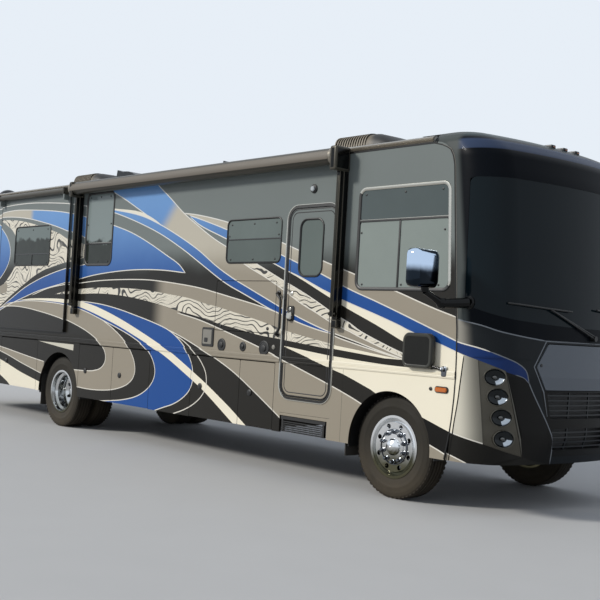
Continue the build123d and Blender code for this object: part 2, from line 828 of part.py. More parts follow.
def front_rim():
    """Front wheel: rim, dished disc with hand holes, hub and domed cap."""
    rim = rim_barrel(-front_track_y)
    face_y = -front_track_y - 98
    bore = spindle_radius + running_gap
    dish = [(0, 245), (20, 274), (34, 274), (22, 230), (4, 150), (-8, 150), (-14, 236)]
    disc = turned(dish, face_y, axle_height)
    disc += turned([(-12, bore), (8, bore), (8, 160), (-12, 152)], face_y, axle_height)
    disc = hand_holes(disc, face_y, 205, 24)
    hub = turned([(12, bore), (12, 130), (50, 110), (120, 110), (120, bore)], face_y - 8, axle_height)
    cap = turned([(-8, 0), (-8, 84), (-34, 80), (-56, 62), (-68, 34), (-72, 0)], face_y + 2, axle_height)
    cap += turned([(-6, 40), (-6, 130), (-20, 122), (-22, 40)], face_y + 2, axle_height)
    return rim + disc + hub + cap


def rear_rim():
    """Twin rear wheel: two rims whose discs meet, hub and domed cap."""
    inner_y = rear_outer_y - twin_spacing
    middle = -(rear_outer_y + inner_y) / 2
    rim = rim_barrel(-rear_outer_y) + rim_barrel(-inner_y)
    outer_dish = [(-2, 110), (-2, 180), (-80, 236), (-104, 274),
                  (-90, 274), (-60, 240), (14, 184), (14, 110)]
    inner_dish = [(10, 110), (10, 184), (60, 240), (90, 274), (104, 274), (80, 236), (26, 180), (26, 110)]
    outer_disc = turned(outer_dish, middle, axle_height)
    inner_disc = turned(inner_dish, middle, axle_height)
    outer_disc = hand_holes(outer_disc, middle - 40, 206, 24)
    bore = axle_spindle + running_gap
    hub = turned([(60, bore), (60, 170), (-2, 170), (-2, 112), (-90, 84), (-126, 70), (-138, 40), (-138, 0),
                  (-128, 0), (-128, bore)], middle, axle_height)
    return rim + outer_disc + inner_disc + hub


axle_spindle = 48


def rear_axle():
    """Banjo housing with its tubes, the leaf springs and the propeller shaft."""
    z = axle_height
    x = -wheelbase
    inner_y = rear_outer_y - twin_spacing
    middle = (rear_outer_y + inner_y) / 2
    axle = rod((x, -middle + 70, z), (x, middle - 70, z), 70)
    axle += rod((x, -middle - 120, z), (x, middle + 120, z), axle_spindle)
    axle += Pos(x, 0, z) * Sphere(200)
    axle += rod((x + 150, 0, z + 10), (x + 330, 0, z + 20), 80)
    axle += rod((x + 320, 0, z + 20), (shaft_front, 0, z + 112), 45)
    for sign in (-1, 1):
        axle += leaf_spring(x, sign * (rail_y - rail_flange / 2), z + 60, 1500)
    return axle


engine_size = (1050, 620, 560)
engine_place = (200, 0, 830)
shaft_front = engine_place[0] - engine_size[0] / 2 - 1


def engine_block():
    """Engine and gearbox as one plain mass ahead of the cab floor."""
    return Pos(*engine_place) * Box(*engine_size)


# Exhaust run: x, y, z of each bend, from the engine to the outlet behind the rear wheels
exhaust_route = [
    (shaft_front + 0.7, -250, 605),
    (-wheelbase - 300, -250, 605),
    (-wheelbase - 600, -250, 500),
    (-wheelbase - 600, -1120, 500),
    (-wheelbase - 600, -1150, 430),
]
exhaust_radius = 38
silencer_x, silencer_length, silencer_radius = station(-3300), 700, 70


def exhaust():
    """Pipe and silencer beside the shaft, over the axle and out behind the wheels."""
    pipe = None
    for start, end in zip(exhaust_route, exhaust_route[1:]):
        run = rod(start, end, exhaust_radius)
        pipe = run if pipe is None else pipe + run
    for bend in exhaust_route[1:-1]:
        pipe += Pos(*bend) * Sphere(exhaust_radius)
    x, y, z = exhaust_route[0]
    ends = silencer_x - silencer_length / 2, silencer_x + silencer_length / 2
    return pipe + rod((ends[0], y, z), (ends[1], y, z), silencer_radius)


def fuel_tank():
    """Tank between the rails behind the rear axle."""
    reach = rail_y - rail_flange - 12
    tank = box(station(-8640), station(-7460), -reach, reach, rail_bottom - 160, rail_bottom + 180)
    tank = fillet(tank.edges().filter_by(Axis.X), 60)
    straps = None
    for x in (station(-8400), station(-7700)):
        strap = box(x - 25, x + 25, -reach - 4, reach + 4, rail_bottom - 166, rail_bottom - 158)
        for sign in (-1, 1):
            y, y_rail = sign * (reach + 3), sign * (rail_y - rail_web)
            strap += box(x - 25, x + 25, y - 3, y + 3, rail_bottom - 166, rail_bottom + 40)
            strap += box(x - 25, x + 25, min(y, y_rail), max(y, y_rail), rail_bottom + 30, rail_bottom + 40)
        straps = strap if straps is None else straps + strap
    return tank + straps


# Roof units
air_conditioner_places = [-1480, station(-7500)]
air_conditioner_size = (1100, 700, 370)


def air_conditioners():
    """Low shroud with a tapered nose on each cooling unit."""
    length, width, height = air_conditioner_size
    units = []
    for x in air_conditioner_places:
        base = roof_crown - 12
        rear, top = x - length / 2, base + height
        side = make_face(Polyline(
            (rear, base), (rear + 10, base + height * 0.75), (rear + 60, top), (x + length * 0.12, top),
            (x + length * 0.42, base + height * 0.72), (x + length / 2, base), close=True))
        shroud = side_plate(side, -width / 2, width / 2)
        outer_edges = [e for e in shroud.edges() if abs(abs(e.center().Y) - width / 2) < 1]
        shroud = chamfer([e for e in outer_edges if e.center().Z > base + 60], 30)
        for index in range(9):
            slot_x = rear + 110 + index * 42
            shroud -= box(slot_x, slot_x + 16, -width / 2 + 60, width / 2 - 60, top - 12, top + 5)
        units.append(shroud - roof(seat_gap))
    return group(units)


def roof_vents():
    """Covers over the roof vents and a round dome near the rear."""
    pieces = []
    for x, y in ((station(-6550), 0), (station(-4300), 300)):
        base = roof_crown - 16
        side = make_face([
            Line((x - 400, base), (x + 420, base)),
            ThreePointArc((x + 420, base), (x + 240, base + 230), (x - 160, base + 340)),
            Line((x - 160, base + 340), (x - 320, base + 380)),
            Line((x - 320, base + 380), (x - 400, base)),
        ])
        pieces.append(side_plate(side, y - 230, y + 230) - roof(seat_gap))
    cover = Sphere(195) - Pos(0, 0, -200) * Box(500, 500, 400)
    dome = Cylinder(200, 60) + Pos(0, 0, 25) * cover
    pieces.append(Pos(rear_face + 480, -560, roof_crown - 20) * dome - roof(seat_gap))
    return group(pieces)


# Awning along the right wall
awning_rear, awning_front = station(-6030), -810
awning_y, awning_z, awning_radius = -1400, 3318, 85
awning_arm_x = [awning_front + 55, awning_rear + 30]
awning_arm_low = 1620


def awning():
    """Roller tube with its end castings and folded arms against the wall."""
    tube = rod((awning_rear, awning_y, awning_z), (awning_front, awning_y, awning_z), awning_radius)
    for x in awning_arm_x:
        y_back = -half - seat_gap
        arm = box(x - 55, x + 55, awning_y - 30, y_back, awning_arm_low, awning_z - 60)
        arm -= box(x - 40, x + 40, awning_y - 31, y_back - 70, awning_arm_low + 30, awning_z - 180)
        arm += box(x - 28, x + 28, awning_y - 24, y_back - 60, awning_arm_low + 60, awning_z - 120)
        head = box(x - 70, x + 70, awning_y - 92, y_back, awning_z - 100, awning_z + 92)
        head_edges = [e for e in head.edges() if e.center().Y < awning_y - 80]
        tube += arm + fillet(head_edges, 30)
    return tube


# Mirrors: head centre and size, arm foot on the cap
mirror_head = (700, -1682, 2155)
mirror_size = (120, 325, 340)
mirror_foot = (800, 1880)


def mirror_heads():
    """Chromed shells with a flat glass side to the rear."""
    x, y, z = mirror_head
    depth, width, height = mirror_size
    head = Pos(x, y, z) * Box(depth, width, height)
    upright = head.edges().filter_by(Axis.X)
    head = fillet(upright, 50)
    front_edges = head.faces().sort_by(Axis.X)[-1].edges()
    head = fillet(front_edges, 45)
    return both(head)


def mirror_arms():
    """Black arms from the cap's corners up to the mirror heads."""
    x, y, z = mirror_head
    foot_x, foot_z = mirror_foot
    low = z - mirror_size[2] / 2
    elbow = (x + 40, -half - 190, foot_z - 20)
    arm = rod((foot_x, -half - 12, foot_z), elbow, 42)
    arm += Pos(*elbow) * Sphere(48)
    arm += rod(elbow, (x + 10, y + 20, low - 28), 26)
    arm += Pos(x + 10, y + 20, low - 20) * Cylinder(34, 40 - 2 * seat_gap)
    plate = Pos(foot_x, -half - 9, foot_z) * Rot(90, 0, 0) * Cylinder(62, 18 - 2 * seat_gap)
    return both(arm + plate - cap_solid(-seat_gap))


def low_mirrors():
    """Black wide-angle mirror housings and their brackets, folded against the walls."""
    x, z, length, height = low_mirror
    y = -half - 52
    face = rectangle(x - length / 2, x + length / 2, z - height / 2, z + height / 2, 75)
    housing = side_plate(face, y - 30, y + 30)
    housing = chamfer(housing.faces().sort_by(Axis.Y)[0].edges(), 12)
    elbow = (x + low_mirror_bracket, y + 10, z - 155)
    arm = rod((x + 90, y + 10, z - 110), elbow, 14) + Pos(*elbow) * Sphere(17)
    arm += rod(elbow, (elbow[0], -half - 15, elbow[2]), 12)
    bracket = Pos(elbow[0], -half - 18, elbow[2] - 10) * Box(46, 36 - 2 * seat_gap, 70)
    return both(housing + arm + bracket)


# Wipers: the pivot and the blade's points, from tip to heel, of the right one: y, z
wiper_pivot = (0, 1623)
wiper_blade = [(-1094, 1893), (-1010, 1888), (-850, 1879), (-634, 1868), (-339, 1857)]
wiper_hinge = 3
wiper_shift = 1140
wiper_pivot_shift = 880
wiper_stand = 24
wiper_post = 46


def wipers():
    """Two wipers parked low on the windshield, both laid towards the right."""
    pieces = []
    for shift in (0, wiper_shift):
        points = []
        for y, z in wiper_blade:
            points.append((skin_at(y + shift, z) + wiper_stand, y + shift, z))
        y, z = wiper_pivot[0] + (wiper_pivot_shift if shift else 0), wiper_pivot[1]
        skin = skin_at(y, z)
        piece = rod((skin - 30, y, z), (skin + wiper_post, y, z), 26) - cap_solid(-seat_gap)
        for start, end in zip(points, points[1:]):
            piece += rod(start, end, 9)
        elbow = points[wiper_hinge]
        piece += rod((skin + 34, y - 12, z), elbow, 8) + rod((skin + 34, y + 12, z + 12), elbow, 8)
        pieces.append(piece)
    return group(pieces)


def rear_bumper():
    """Rear bumper with the towing receiver below it."""
    x = rear_face
    bumper = box(x - 70, x - seat_gap, -half + 60, half - 60, 520, 700)
    bumper = fillet(bumper.edges().filter_by(Axis.Z).sort_by(Axis.X)[:2], 50)
    tube = box(x - 100, x + 260, -38, 38, 430, 506)
    socket = box(x - 101, x + 200, -25.5, 25.5, 442.5, 493.5)
    bar = box(x + 120, x + 200, -rail_y - 12, rail_y + 12, 430, 506)
    for sign in (-1, 1):
        y0, y1 = sign * (rail_y + seat_gap), sign * (rail_y + 12)
        bar += box(x + 120, x + 300, min(y0, y1), max(y0, y1), 430, rail_bottom + 60)
    stay = box(x - 20, x + 130, -200, 200, 500, 519)
    return bumper + tube + bar + stay - socket


# Tail lamps: y centre, z centre, width, height
tail_lamp = (1060, 1500, 150, 420)


def tail_lamps():
    y, z, width, height = tail_lamp
    lamp = Pos(rear_face - 11, -y, z) * Box(22 - 2 * seat_gap, width, height)
    lamp = fillet(lamp.edges().filter_by(Axis.X), 30)
    return both(lamp)


# Ladder on the rear wall: y centre, width, z low, z high
ladder_place = (620, 400, 900, 3330)
rung_count = 8


def ladder():
    """Tubular ladder on stand-offs."""
    y, width, low, high = ladder_place
    x = rear_face - ladder_standoff + 16
    total = None
    for sign in (-1, 1):
        rail_at = y + sign * width / 2
        piece = rod((x, rail_at, low), (x, rail_at, high + 160), 16)
        piece += rod((x, rail_at, high + 160), (rear_face + 300, rail_at, high + 160), 16)
        piece += Pos(x, rail_at, high + 160) * Sphere(16)
        piece += rod((rear_face + 300, rail_at, high + 160), (rear_face + 300, rail_at, roof_edge + 40), 16)
        piece += Pos(rear_face + 300, rail_at, high + 160) * Sphere(16)
        for z in (low + 60, (low + high) / 2, high - 80):
            piece += rod((x, rail_at, z), (rear_face - seat_gap, rail_at, z), 12)
        total = piece if total is None else total + piece
    for index in range(rung_count):
        z = low + 120 + index * (high - low - 160) / (rung_count - 1)
        total += rod((x, y - width / 2, z), (x, y + width / 2, z), 13)
    return total - roof(seat_gap)


def mud_flaps():
    """Rubber flaps behind the front and rear wheels."""
    flaps = []
    for x, low, y_in, y_out in ((-600, 330, 900, 1240), (-wheelbase - 530, 260, 640, 1240)):
        flaps.append(box(x - 6, x + 6, -y_out, -y_in, low, floor_top - floor_thickness - seat_gap))
        flaps.append(box(x - 6, x + 6, y_in, y_out, low, floor_top - floor_thickness - seat_gap))
    return group(flaps)


def levelling_jacks():
    """Four retracted hydraulic legs on the rails."""
    legs = []
    for x in (-760, station(-7250)):
        for sign in (-1, 1):
            y = sign * (rail_y + 62)
            leg = rod((x, y, 380), (x, y, 860), 45)
            leg += rod((x, y, 340), (x, y, 385), 30)
            leg += rod((x, y, 322), (x, y, 342), 110)
            inner, outer = sign * (rail_y + seat_gap), y
            leg += box(x - 70, x + 70, min(inner, outer), max(inner, outer), 680, 840)
            legs.append(leg)
    return group(legs)


def dashboard():
    """Dashboard under the windshield with the steering column and wheel."""
    face = outline([(560, floor_top), (1040, floor_top), (1040, 1700),
                    (900, 1800), (640, 1760), (560, 1600)])
    panel = side_plate(face, -1000, 1000)
    panel -= box(500, 900, -1001, 1001, floor_top - 1, 1480)
    column = rod((700, driver_y, 1640), (440, driver_y, 1800), 30)
    wheel_plane = Plane(origin=(430, driver_y, 1806), z_dir=(-260, 0, 160))
    wheel = wheel_plane * Torus(210, 16)
    for angle in (90, 210, 330):
        spoke = wheel_plane * Rot(0, 0, angle) * Pos(105, 0, 0) * Box(210, 26, 12)
        wheel += spoke
    hub = wheel_plane * Cylinder(60, 40)
    return panel + column + wheel + hub


driver_y = 620


def cab_seats():
    """Driver's and passenger's chairs on pedestals."""
    seats = []
    for y in (-driver_y, driver_y):
        x = -150
        seat = box(x - 130, x + 130, y - 130, y + 130, floor_top, floor_top + 320)
        seat += box(x - 270, x + 270, y - 265, y + 265, floor_top + 320, floor_top + 450)
        low, high = floor_top + 440, floor_top + 1130
        back = outline([(x - 200, low), (x - 320, low), (x - 440, high), (x - 340, high)])
        seat += side_plate(back, y - 250, y + 250)
        seats.append(seat)
    return group(seats)


os.makedirs("parts", exist_ok=True)

# The wipers' posts reach furthest forward, the ladder furthest back
front_reach = skin_at(0, wiper_pivot[1]) + wiper_post
front_axle_x = round((wheelbase + rear_overhang + ladder_standoff - front_reach) / 2, 1)


def keep(name, shape):
    """Writes a piece in the part's own frame, whose origin is under its middle."""
    export_step(Pos(front_axle_x, 0, 0) * shape, f"parts/{name}.step")


cap_outer = cap_solid(0)
keep("front_cap", front_cap(cap_outer))
keep("windshield", windshield())
keep("hood", hood(cap_outer))
keep("headlamps", headlamps(cap_outer))
keep("grille", grille())
keep("right_wall", side_wall("right"))
keep("left_wall", side_wall("left"))
keep("right_skirt", skirt("right"))
keep("left_skirt", skirt("left"))
keep("roof", roof())
keep("rear_wall", rear_wall())
keep("side_windows", side_windows())
keep("entry_door", entry_door())
keep("entry_door_glass", pane(opening(*entry_window, 90)))
keep("screen_flap", hung_door(*screen_flap, flap_corner, door_thickness))
for name, side, rear, front in bay_doors:
    door = bay_door(rear, front)
    keep(name, left(door) if side == "left" else door)
for side in ("right", "left"):
    keep(f"slide_room_{side}", slide_room(side))
    keep(f"slide_glass_{side}", slide_glass(side))
keep("chassis_frame", chassis_frame())
keep("floor_deck", floor_deck())
keep("entry_stairwell", entry_stairwell())
keep("luggage_bays", luggage_bays())
keep("engine_block", engine_block())
keep("front_axle", front_axle())
keep("rear_axle", rear_axle())
keep("exhaust", exhaust())
keep("fuel_tank", fuel_tank())
keep("knuckle_right", knuckle(-1))
keep("knuckle_left", knuckle(1))
keep("tie_rod", tie_rod())
front_tyre, front_wheel = tyre(-front_track_y), front_rim()
rear_tyres = Pos(-wheelbase, 0, 0) * group([tyre(-rear_outer_y), tyre(-rear_outer_y + twin_spacing)])
rear_wheel = Pos(-wheelbase, 0, 0) * rear_rim()
for name, shape in (("front_tyre", front_tyre), ("front_rim", front_wheel),
                    ("rear_tyres", rear_tyres), ("rear_rims", rear_wheel)):
    keep(f"{name}_right", shape)
    keep(f"{name}_left", left(shape))
keep("air_conditioners", air_conditioners())
keep("roof_vents", roof_vents())
keep("awning", awning())
keep("mirrors", group([mirror_heads(), mirror_arms(), low_mirrors()]))
keep("wipers", wipers())
keep("rear_bumper", rear_bumper())
keep("tail_lamps", tail_lamps())
keep("ladder", ladder())
keep("mud_flaps", mud_flaps())
keep("levelling_jacks", levelling_jacks())
keep("entry_step", entry_step())
keep("dashboard", dashboard())
keep("cab_seats", cab_seats())
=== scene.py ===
import math

import bmesh
import bpy
import numpy as np
from mathutils import Matrix, Vector
from mathutils.geometry import delaunay_2d_cdt


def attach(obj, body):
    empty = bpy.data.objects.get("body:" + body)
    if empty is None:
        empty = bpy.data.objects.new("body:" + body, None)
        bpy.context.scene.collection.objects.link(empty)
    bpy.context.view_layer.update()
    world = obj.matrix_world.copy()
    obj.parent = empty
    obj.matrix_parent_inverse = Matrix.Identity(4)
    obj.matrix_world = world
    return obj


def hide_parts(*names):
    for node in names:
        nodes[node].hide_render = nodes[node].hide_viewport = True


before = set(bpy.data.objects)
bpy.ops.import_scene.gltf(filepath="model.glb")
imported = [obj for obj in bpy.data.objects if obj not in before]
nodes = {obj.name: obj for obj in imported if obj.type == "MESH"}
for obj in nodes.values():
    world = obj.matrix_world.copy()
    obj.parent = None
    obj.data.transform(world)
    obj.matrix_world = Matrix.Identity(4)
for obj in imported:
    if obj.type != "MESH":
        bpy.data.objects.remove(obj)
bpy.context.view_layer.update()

# Metres. X is written from the front axle, as in the part's source, and shifted by AXLE where points are made.
AXLE = 4.5101
SHIFT = Vector((AXLE, 0, 0))
SIDES = (("right", -1), ("left", 1))
HALF = 1.275  # half the body's width
BELT = (1.188, 1.268)  # low and high edge of the ribbed moulding round the body
REAR_SEAM, REAR_FACE = -10.06, -10.28
REAR_AXLE, WHEEL_Z = -6.4, 0.490
ROOM_REACH = 0.040  # how far a closed slide-out room stands outside its wall
DOOR = (-1.58, -0.85, 0.85, 2.83)  # entry door: x rear, x front, z low, z high
SKIN = 0.0012  # distance of the paint outside its panel
LINE = 0.012  # width of a pinstripe


# ---------------------------------------------------------------- material nodes
def feed(tree, node, values):
    """Give a node's inputs their constants or links."""
    for key, value in values.items():
        if isinstance(value, bpy.types.NodeSocket):
            tree.links.new(value, node.inputs[key])
        else:
            node.inputs[key].default_value = value


def linear(colour):
    """Linear colour from a #rrggbb value as it should look on screen."""
    if isinstance(colour, tuple):
        return colour
    parts = [int(colour[i:i + 2], 16) / 255 for i in (1, 3, 5)]
    return tuple(c / 12.92 if c <= 0.04045 else ((c + 0.055) / 1.055) ** 2.4 for c in parts)


def math_node(tree, operation, *values):
    node = tree.nodes.new("ShaderNodeMath")
    node.operation = operation
    feed(tree, node, dict(enumerate(values)))
    return node.outputs[0]


def vector_node(tree, operation, values):
    node = tree.nodes.new("ShaderNodeVectorMath")
    node.operation = operation
    feed(tree, node, values)
    return node.outputs[0]


def mix_colour(tree, factor, a, b):
    node = tree.nodes.new("ShaderNodeMix")
    node.data_type = "RGBA"
    a, b = (c if isinstance(c, bpy.types.NodeSocket) else (*linear(c), 1) for c in (a, b))
    feed(tree, node, {0: factor, 6: a, 7: b})
    return node.outputs[2]


def mapped(tree, coords, scale, rotation=(0, 0, 0)):
    node = tree.nodes.new("ShaderNodeMapping")
    feed(tree, node, {"Scale": scale, "Rotation": rotation, "Vector": coords})
    return node.outputs["Vector"]


def noise(tree, coords, scale, detail=2.0, stretch=None, output="Fac"):
    node = tree.nodes.new("ShaderNodeTexNoise")
    coords = mapped(tree, coords, stretch) if stretch else coords
    feed(tree, node, {"Scale": scale, "Detail": detail, "Vector": coords})
    return node.outputs[output]


def split(tree, vector):
    node = tree.nodes.new("ShaderNodeSeparateXYZ")
    tree.links.new(vector, node.inputs[0])
    return node.outputs


def ramp_between(tree, value, low, high):
    """0 below low, 1 above high, smooth between."""
    node = tree.nodes.new("ShaderNodeMapRange")
    node.interpolation_type = "SMOOTHSTEP"
    feed(tree, node, {"From Min": low, "From Max": high, "Value": value})
    return node.outputs[0]


def stops(tree, value, low, high, tones):
    """Colour along a value from (place, tone) stops between low and high."""
    node = tree.nodes.new("ShaderNodeValToRGB")
    share = math_node(tree, "DIVIDE", math_node(tree, "SUBTRACT", value, low), high - low)
    tree.links.new(share, node.inputs[0])
    elements = node.color_ramp.elements
    while len(elements) < len(tones):
        elements.new(0.5)
    for element, (place, tone) in zip(elements, tones):
        element.position = (place - low) / (high - low)
        element.color = (*linear(tone), 1)
    return node.outputs[0]


def bumped(tree, shader, height, strength, distance=0.002):
    node = tree.nodes.new("ShaderNodeBump")
    feed(tree, node, {"Strength": strength, "Distance": distance, "Height": height})
    tree.links.new(node.outputs[0], shader.inputs["Normal"])


def blank_material(name):
    material = bpy.data.materials.new(name)
    material.use_nodes = True
    tree = material.node_tree
    coords = tree.nodes.new("ShaderNodeTexCoord").outputs["Object"]
    return material, tree, tree.nodes["Principled BSDF"], coords


# ---------------------------------------------------------------- kinds of finish
def surface(name, colour, metallic=0.0, roughness=0.5, vary=0.12, scale=6, bump=0.0, bump_scale=200,
            stretch=None, coat=0.0, ior=1.5, grime=None):
    """General finish: a colour that varies softly, roughness that varies with it, and a fine bump."""
    material, tree, shader, coords = blank_material(name)
    base = linear(colour)
    patches = noise(tree, coords, scale, 4, stretch)
    darker, lighter = (tuple(min(1.0, c * (1 + change)) for c in base) for change in (-vary, vary))
    tone = mix_colour(tree, patches, darker, lighter)
    if grime:
        mud, reach = grime
        low = math_node(tree, "SUBTRACT", 1.0, math_node(tree, "DIVIDE", split(tree, coords)["Z"], reach))
        low = math_node(tree, "MULTIPLY", math_node(tree, "MAXIMUM", low, 0.0), patches)
        tone = mix_colour(tree, low, tone, mud)
    spread = math_node(tree, "MULTIPLY_ADD", patches, roughness * 0.4, roughness * 0.8)
    feed(tree, shader, {"Base Color": tone, "Roughness": spread, "Metallic": metallic, "IOR": ior,
                        "Coat Weight": coat, "Coat Roughness": 0.05})
    if bump:
        bumped(tree, shader, noise(tree, coords, bump_scale, 3, stretch), bump)
    return material


# Heights over which a paint lifts from its low to its high tone, a painted reflection of the sky on the upper
# body; the brow span holds the cap's bands of painted reflection
MIDDLE_SPAN, FULL_SPAN = (2.22, 2.62), (1.95, 3.25)
BROW_SPAN = (3.24, 3.46)


def paint(name, low, high=None, fade=None, across=None, flake=0.10, span=MIDDLE_SPAN, bands=None, gloss=0.5,
          shine=0.12):
    """Gloss body paint whose tone lifts with height as a painted reflection of the sky, fading along the body
    where asked; round the nose a paler side tone darkens ahead as painted shade, and bands give painted
    reflections on the cap's brow.
    """
    material, tree, shader, coords = blank_material(name)
    place = split(tree, coords)
    # The lift with height is a painted reflection of the sky, its edge made ragged
    lifted = math_node(tree, "ADD", place["Z"], math_node(tree, "MULTIPLY", noise(tree, coords, 1.6, 3), 0.22))
    colour = mix_colour(tree, ramp_between(tree, lifted, *span), low, high or low)
    if fade:
        other_low, other_high, start, end, other_span, lean = fade
        along = math_node(tree, "MULTIPLY_ADD", place["Z"], -lean, place["X"])
        other = mix_colour(tree, ramp_between(tree, lifted, *other_span), other_low, other_high)
        colour = mix_colour(tree, ramp_between(tree, along, start + AXLE, end + AXLE), colour, other)
    # Bands of painted reflection across the cap's brow
    if bands:
        colour = stops(tree, place["Z"], *BROW_SPAN, bands)
    # Painted light and shade round the nose: the paler tone on the sides, darkening ahead where the nose turns
    # from the light
    if across:
        tone, start, end = across
        ahead = math_node(tree, "MULTIPLY_ADD", place["Z"], 0.13, place["X"])
        colour = mix_colour(tree, ramp_between(tree, ahead, start + AXLE, end + AXLE), tone, colour)
    clouds = noise(tree, coords, 0.9, 2)
    amount = math_node(tree, "MULTIPLY_ADD", noise(tree, coords, 900, 1), flake, 1 - flake / 2)
    amount = math_node(tree, "MULTIPLY", amount, math_node(tree, "MULTIPLY_ADD", clouds, 0.10, 0.95))
    feed(tree, shader, {
        "Base Color": vector_node(tree, "SCALE", {0: colour, "Scale": amount}),
        "Roughness": math_node(tree, "MULTIPLY_ADD", clouds, 0.08, 0.34),
        "Specular IOR Level": shine, "Coat Weight": gloss, "Coat Roughness": 0.04, "Coat IOR": 1.2})
    bumped(tree, shader, noise(tree, coords, 70, 2), 0.03, 0.001)
    return material


def marble(name, ground, vein):
    """Gloss cream paint with dark swirled veins of no set figure."""
    material, tree, shader, coords = blank_material(name)
    warp = noise(tree, coords, 1.5, 2.0, output="Color")
    drawn = mapped(tree, coords, (0.55, 1.0, 1.25), (0, math.radians(8), 0))
    warped = vector_node(tree, "MULTIPLY_ADD", {0: warp, 1: (1.3, 0, 1.5), 2: drawn})
    veins = []
    for scale, narrow, wide in ((1.55, 0.13, 0.22), (4.2, 0.05, 0.12)):
        wave = tree.nodes.new("ShaderNodeTexWave")
        wave.bands_direction = "Z"
        feed(tree, wave, {"Scale": scale, "Distortion": 3.0, "Detail": 1.0, "Detail Scale": 1.4, "Vector": warped})
        ridge = math_node(tree, "ABSOLUTE", math_node(tree, "SUBTRACT", wave.outputs["Fac"], 0.5))
        veins.append(math_node(tree, "SUBTRACT", 1.0, ramp_between(tree, ridge, narrow, wide)))
    thick = noise(tree, coords, 2.6, 1)
    broad = math_node(tree, "MULTIPLY", veins[0], ramp_between(tree, thick, 0.36, 0.50))
    fine = math_node(tree, "MULTIPLY", veins[1], ramp_between(tree, thick, 0.62, 0.48))
    lines = math_node(tree, "MAXIMUM", broad, math_node(tree, "MULTIPLY", fine, 0.8))
    feed(tree, shader, {"Base Color": mix_colour(tree, lines, ground, vein),
                        "Roughness": math_node(tree, "MULTIPLY_ADD", thick, 0.1, 0.3),
                        "Specular IOR Level": 0.25, "Coat Weight": 0.5, "Coat Roughness": 0.04})
    return material


def shroud(name, tone, front):
    """Rough moulded plastic with painted shade: darker where it slopes to the front."""
    material, tree, shader, coords = blank_material(name)
    facing = split(tree, tree.nodes.new("ShaderNodeNewGeometry").outputs["Normal"])
    patches = noise(tree, coords, 6, 4)
    lean = math_node(tree, "MULTIPLY_ADD", patches, 0.10, facing["X"])
    # Slopes that face the front take the darker tone as painted shade
    feed(tree, shader, {"Base Color": mix_colour(tree, ramp_between(tree, lean, 0.02, 0.18), tone, front),
                        "Roughness": math_node(tree, "MULTIPLY_ADD", patches, 0.2, 0.42)})
    bumped(tree, shader, noise(tree, coords, 150, 3), 0.1)
    return material


def tinted(name, low, high, line, ragged=0.5):
    """Dark privacy glass with a painted reflection: pale above a level like the open sky, dark and uneven below
    like a line of trees.
    """
    material, tree, shader, coords = blank_material(name)
    crowns = math_node(tree, "SUBTRACT", noise(tree, coords, 4.5, 5), 0.5)
    raised = math_node(tree, "MULTIPLY_ADD", crowns, ragged, split(tree, coords)["Z"])
    depth = noise(tree, coords, 9, 4)
    dark = mix_colour(tree, depth, low, tuple(c * 1.9 for c in linear(low)))
    share = ramp_between(tree, raised, line - 0.02, line + 0.03)
    feed(tree, shader, {"Base Color": mix_colour(tree, share, dark, high),
                        "Roughness": math_node(tree, "MULTIPLY_ADD", depth, 0.04, 0.05), "IOR": 1.3})
    return material


def polished(name, ground, sky, level, spread=0.16, lean=0.16, roughness=0.08):
    """Mirror-bright metal with a painted reflection: paler like the sky where it faces up or stands above a level,
    darker like the ground below.
    """
    material, tree, shader, coords = blank_material(name)
    geometry = tree.nodes.new("ShaderNodeNewGeometry").outputs
    ripple = noise(tree, coords, 9, 3)
    height, upward = split(tree, geometry["Position"])["Z"], split(tree, geometry["Normal"])["Z"]
    raised = math_node(tree, "MULTIPLY_ADD", upward, lean, height)
    raised = math_node(tree, "MULTIPLY_ADD", ripple, spread * 0.8, raised)
    share = ramp_between(tree, raised, level - spread * 0.5, level + spread * 1.3)
    feed(tree, shader, {"Base Color": mix_colour(tree, share, ground, sky), "Metallic": 1.0,
                        "Roughness": math_node(tree, "MULTIPLY_ADD", ripple, 0.06, roughness)})
    return material
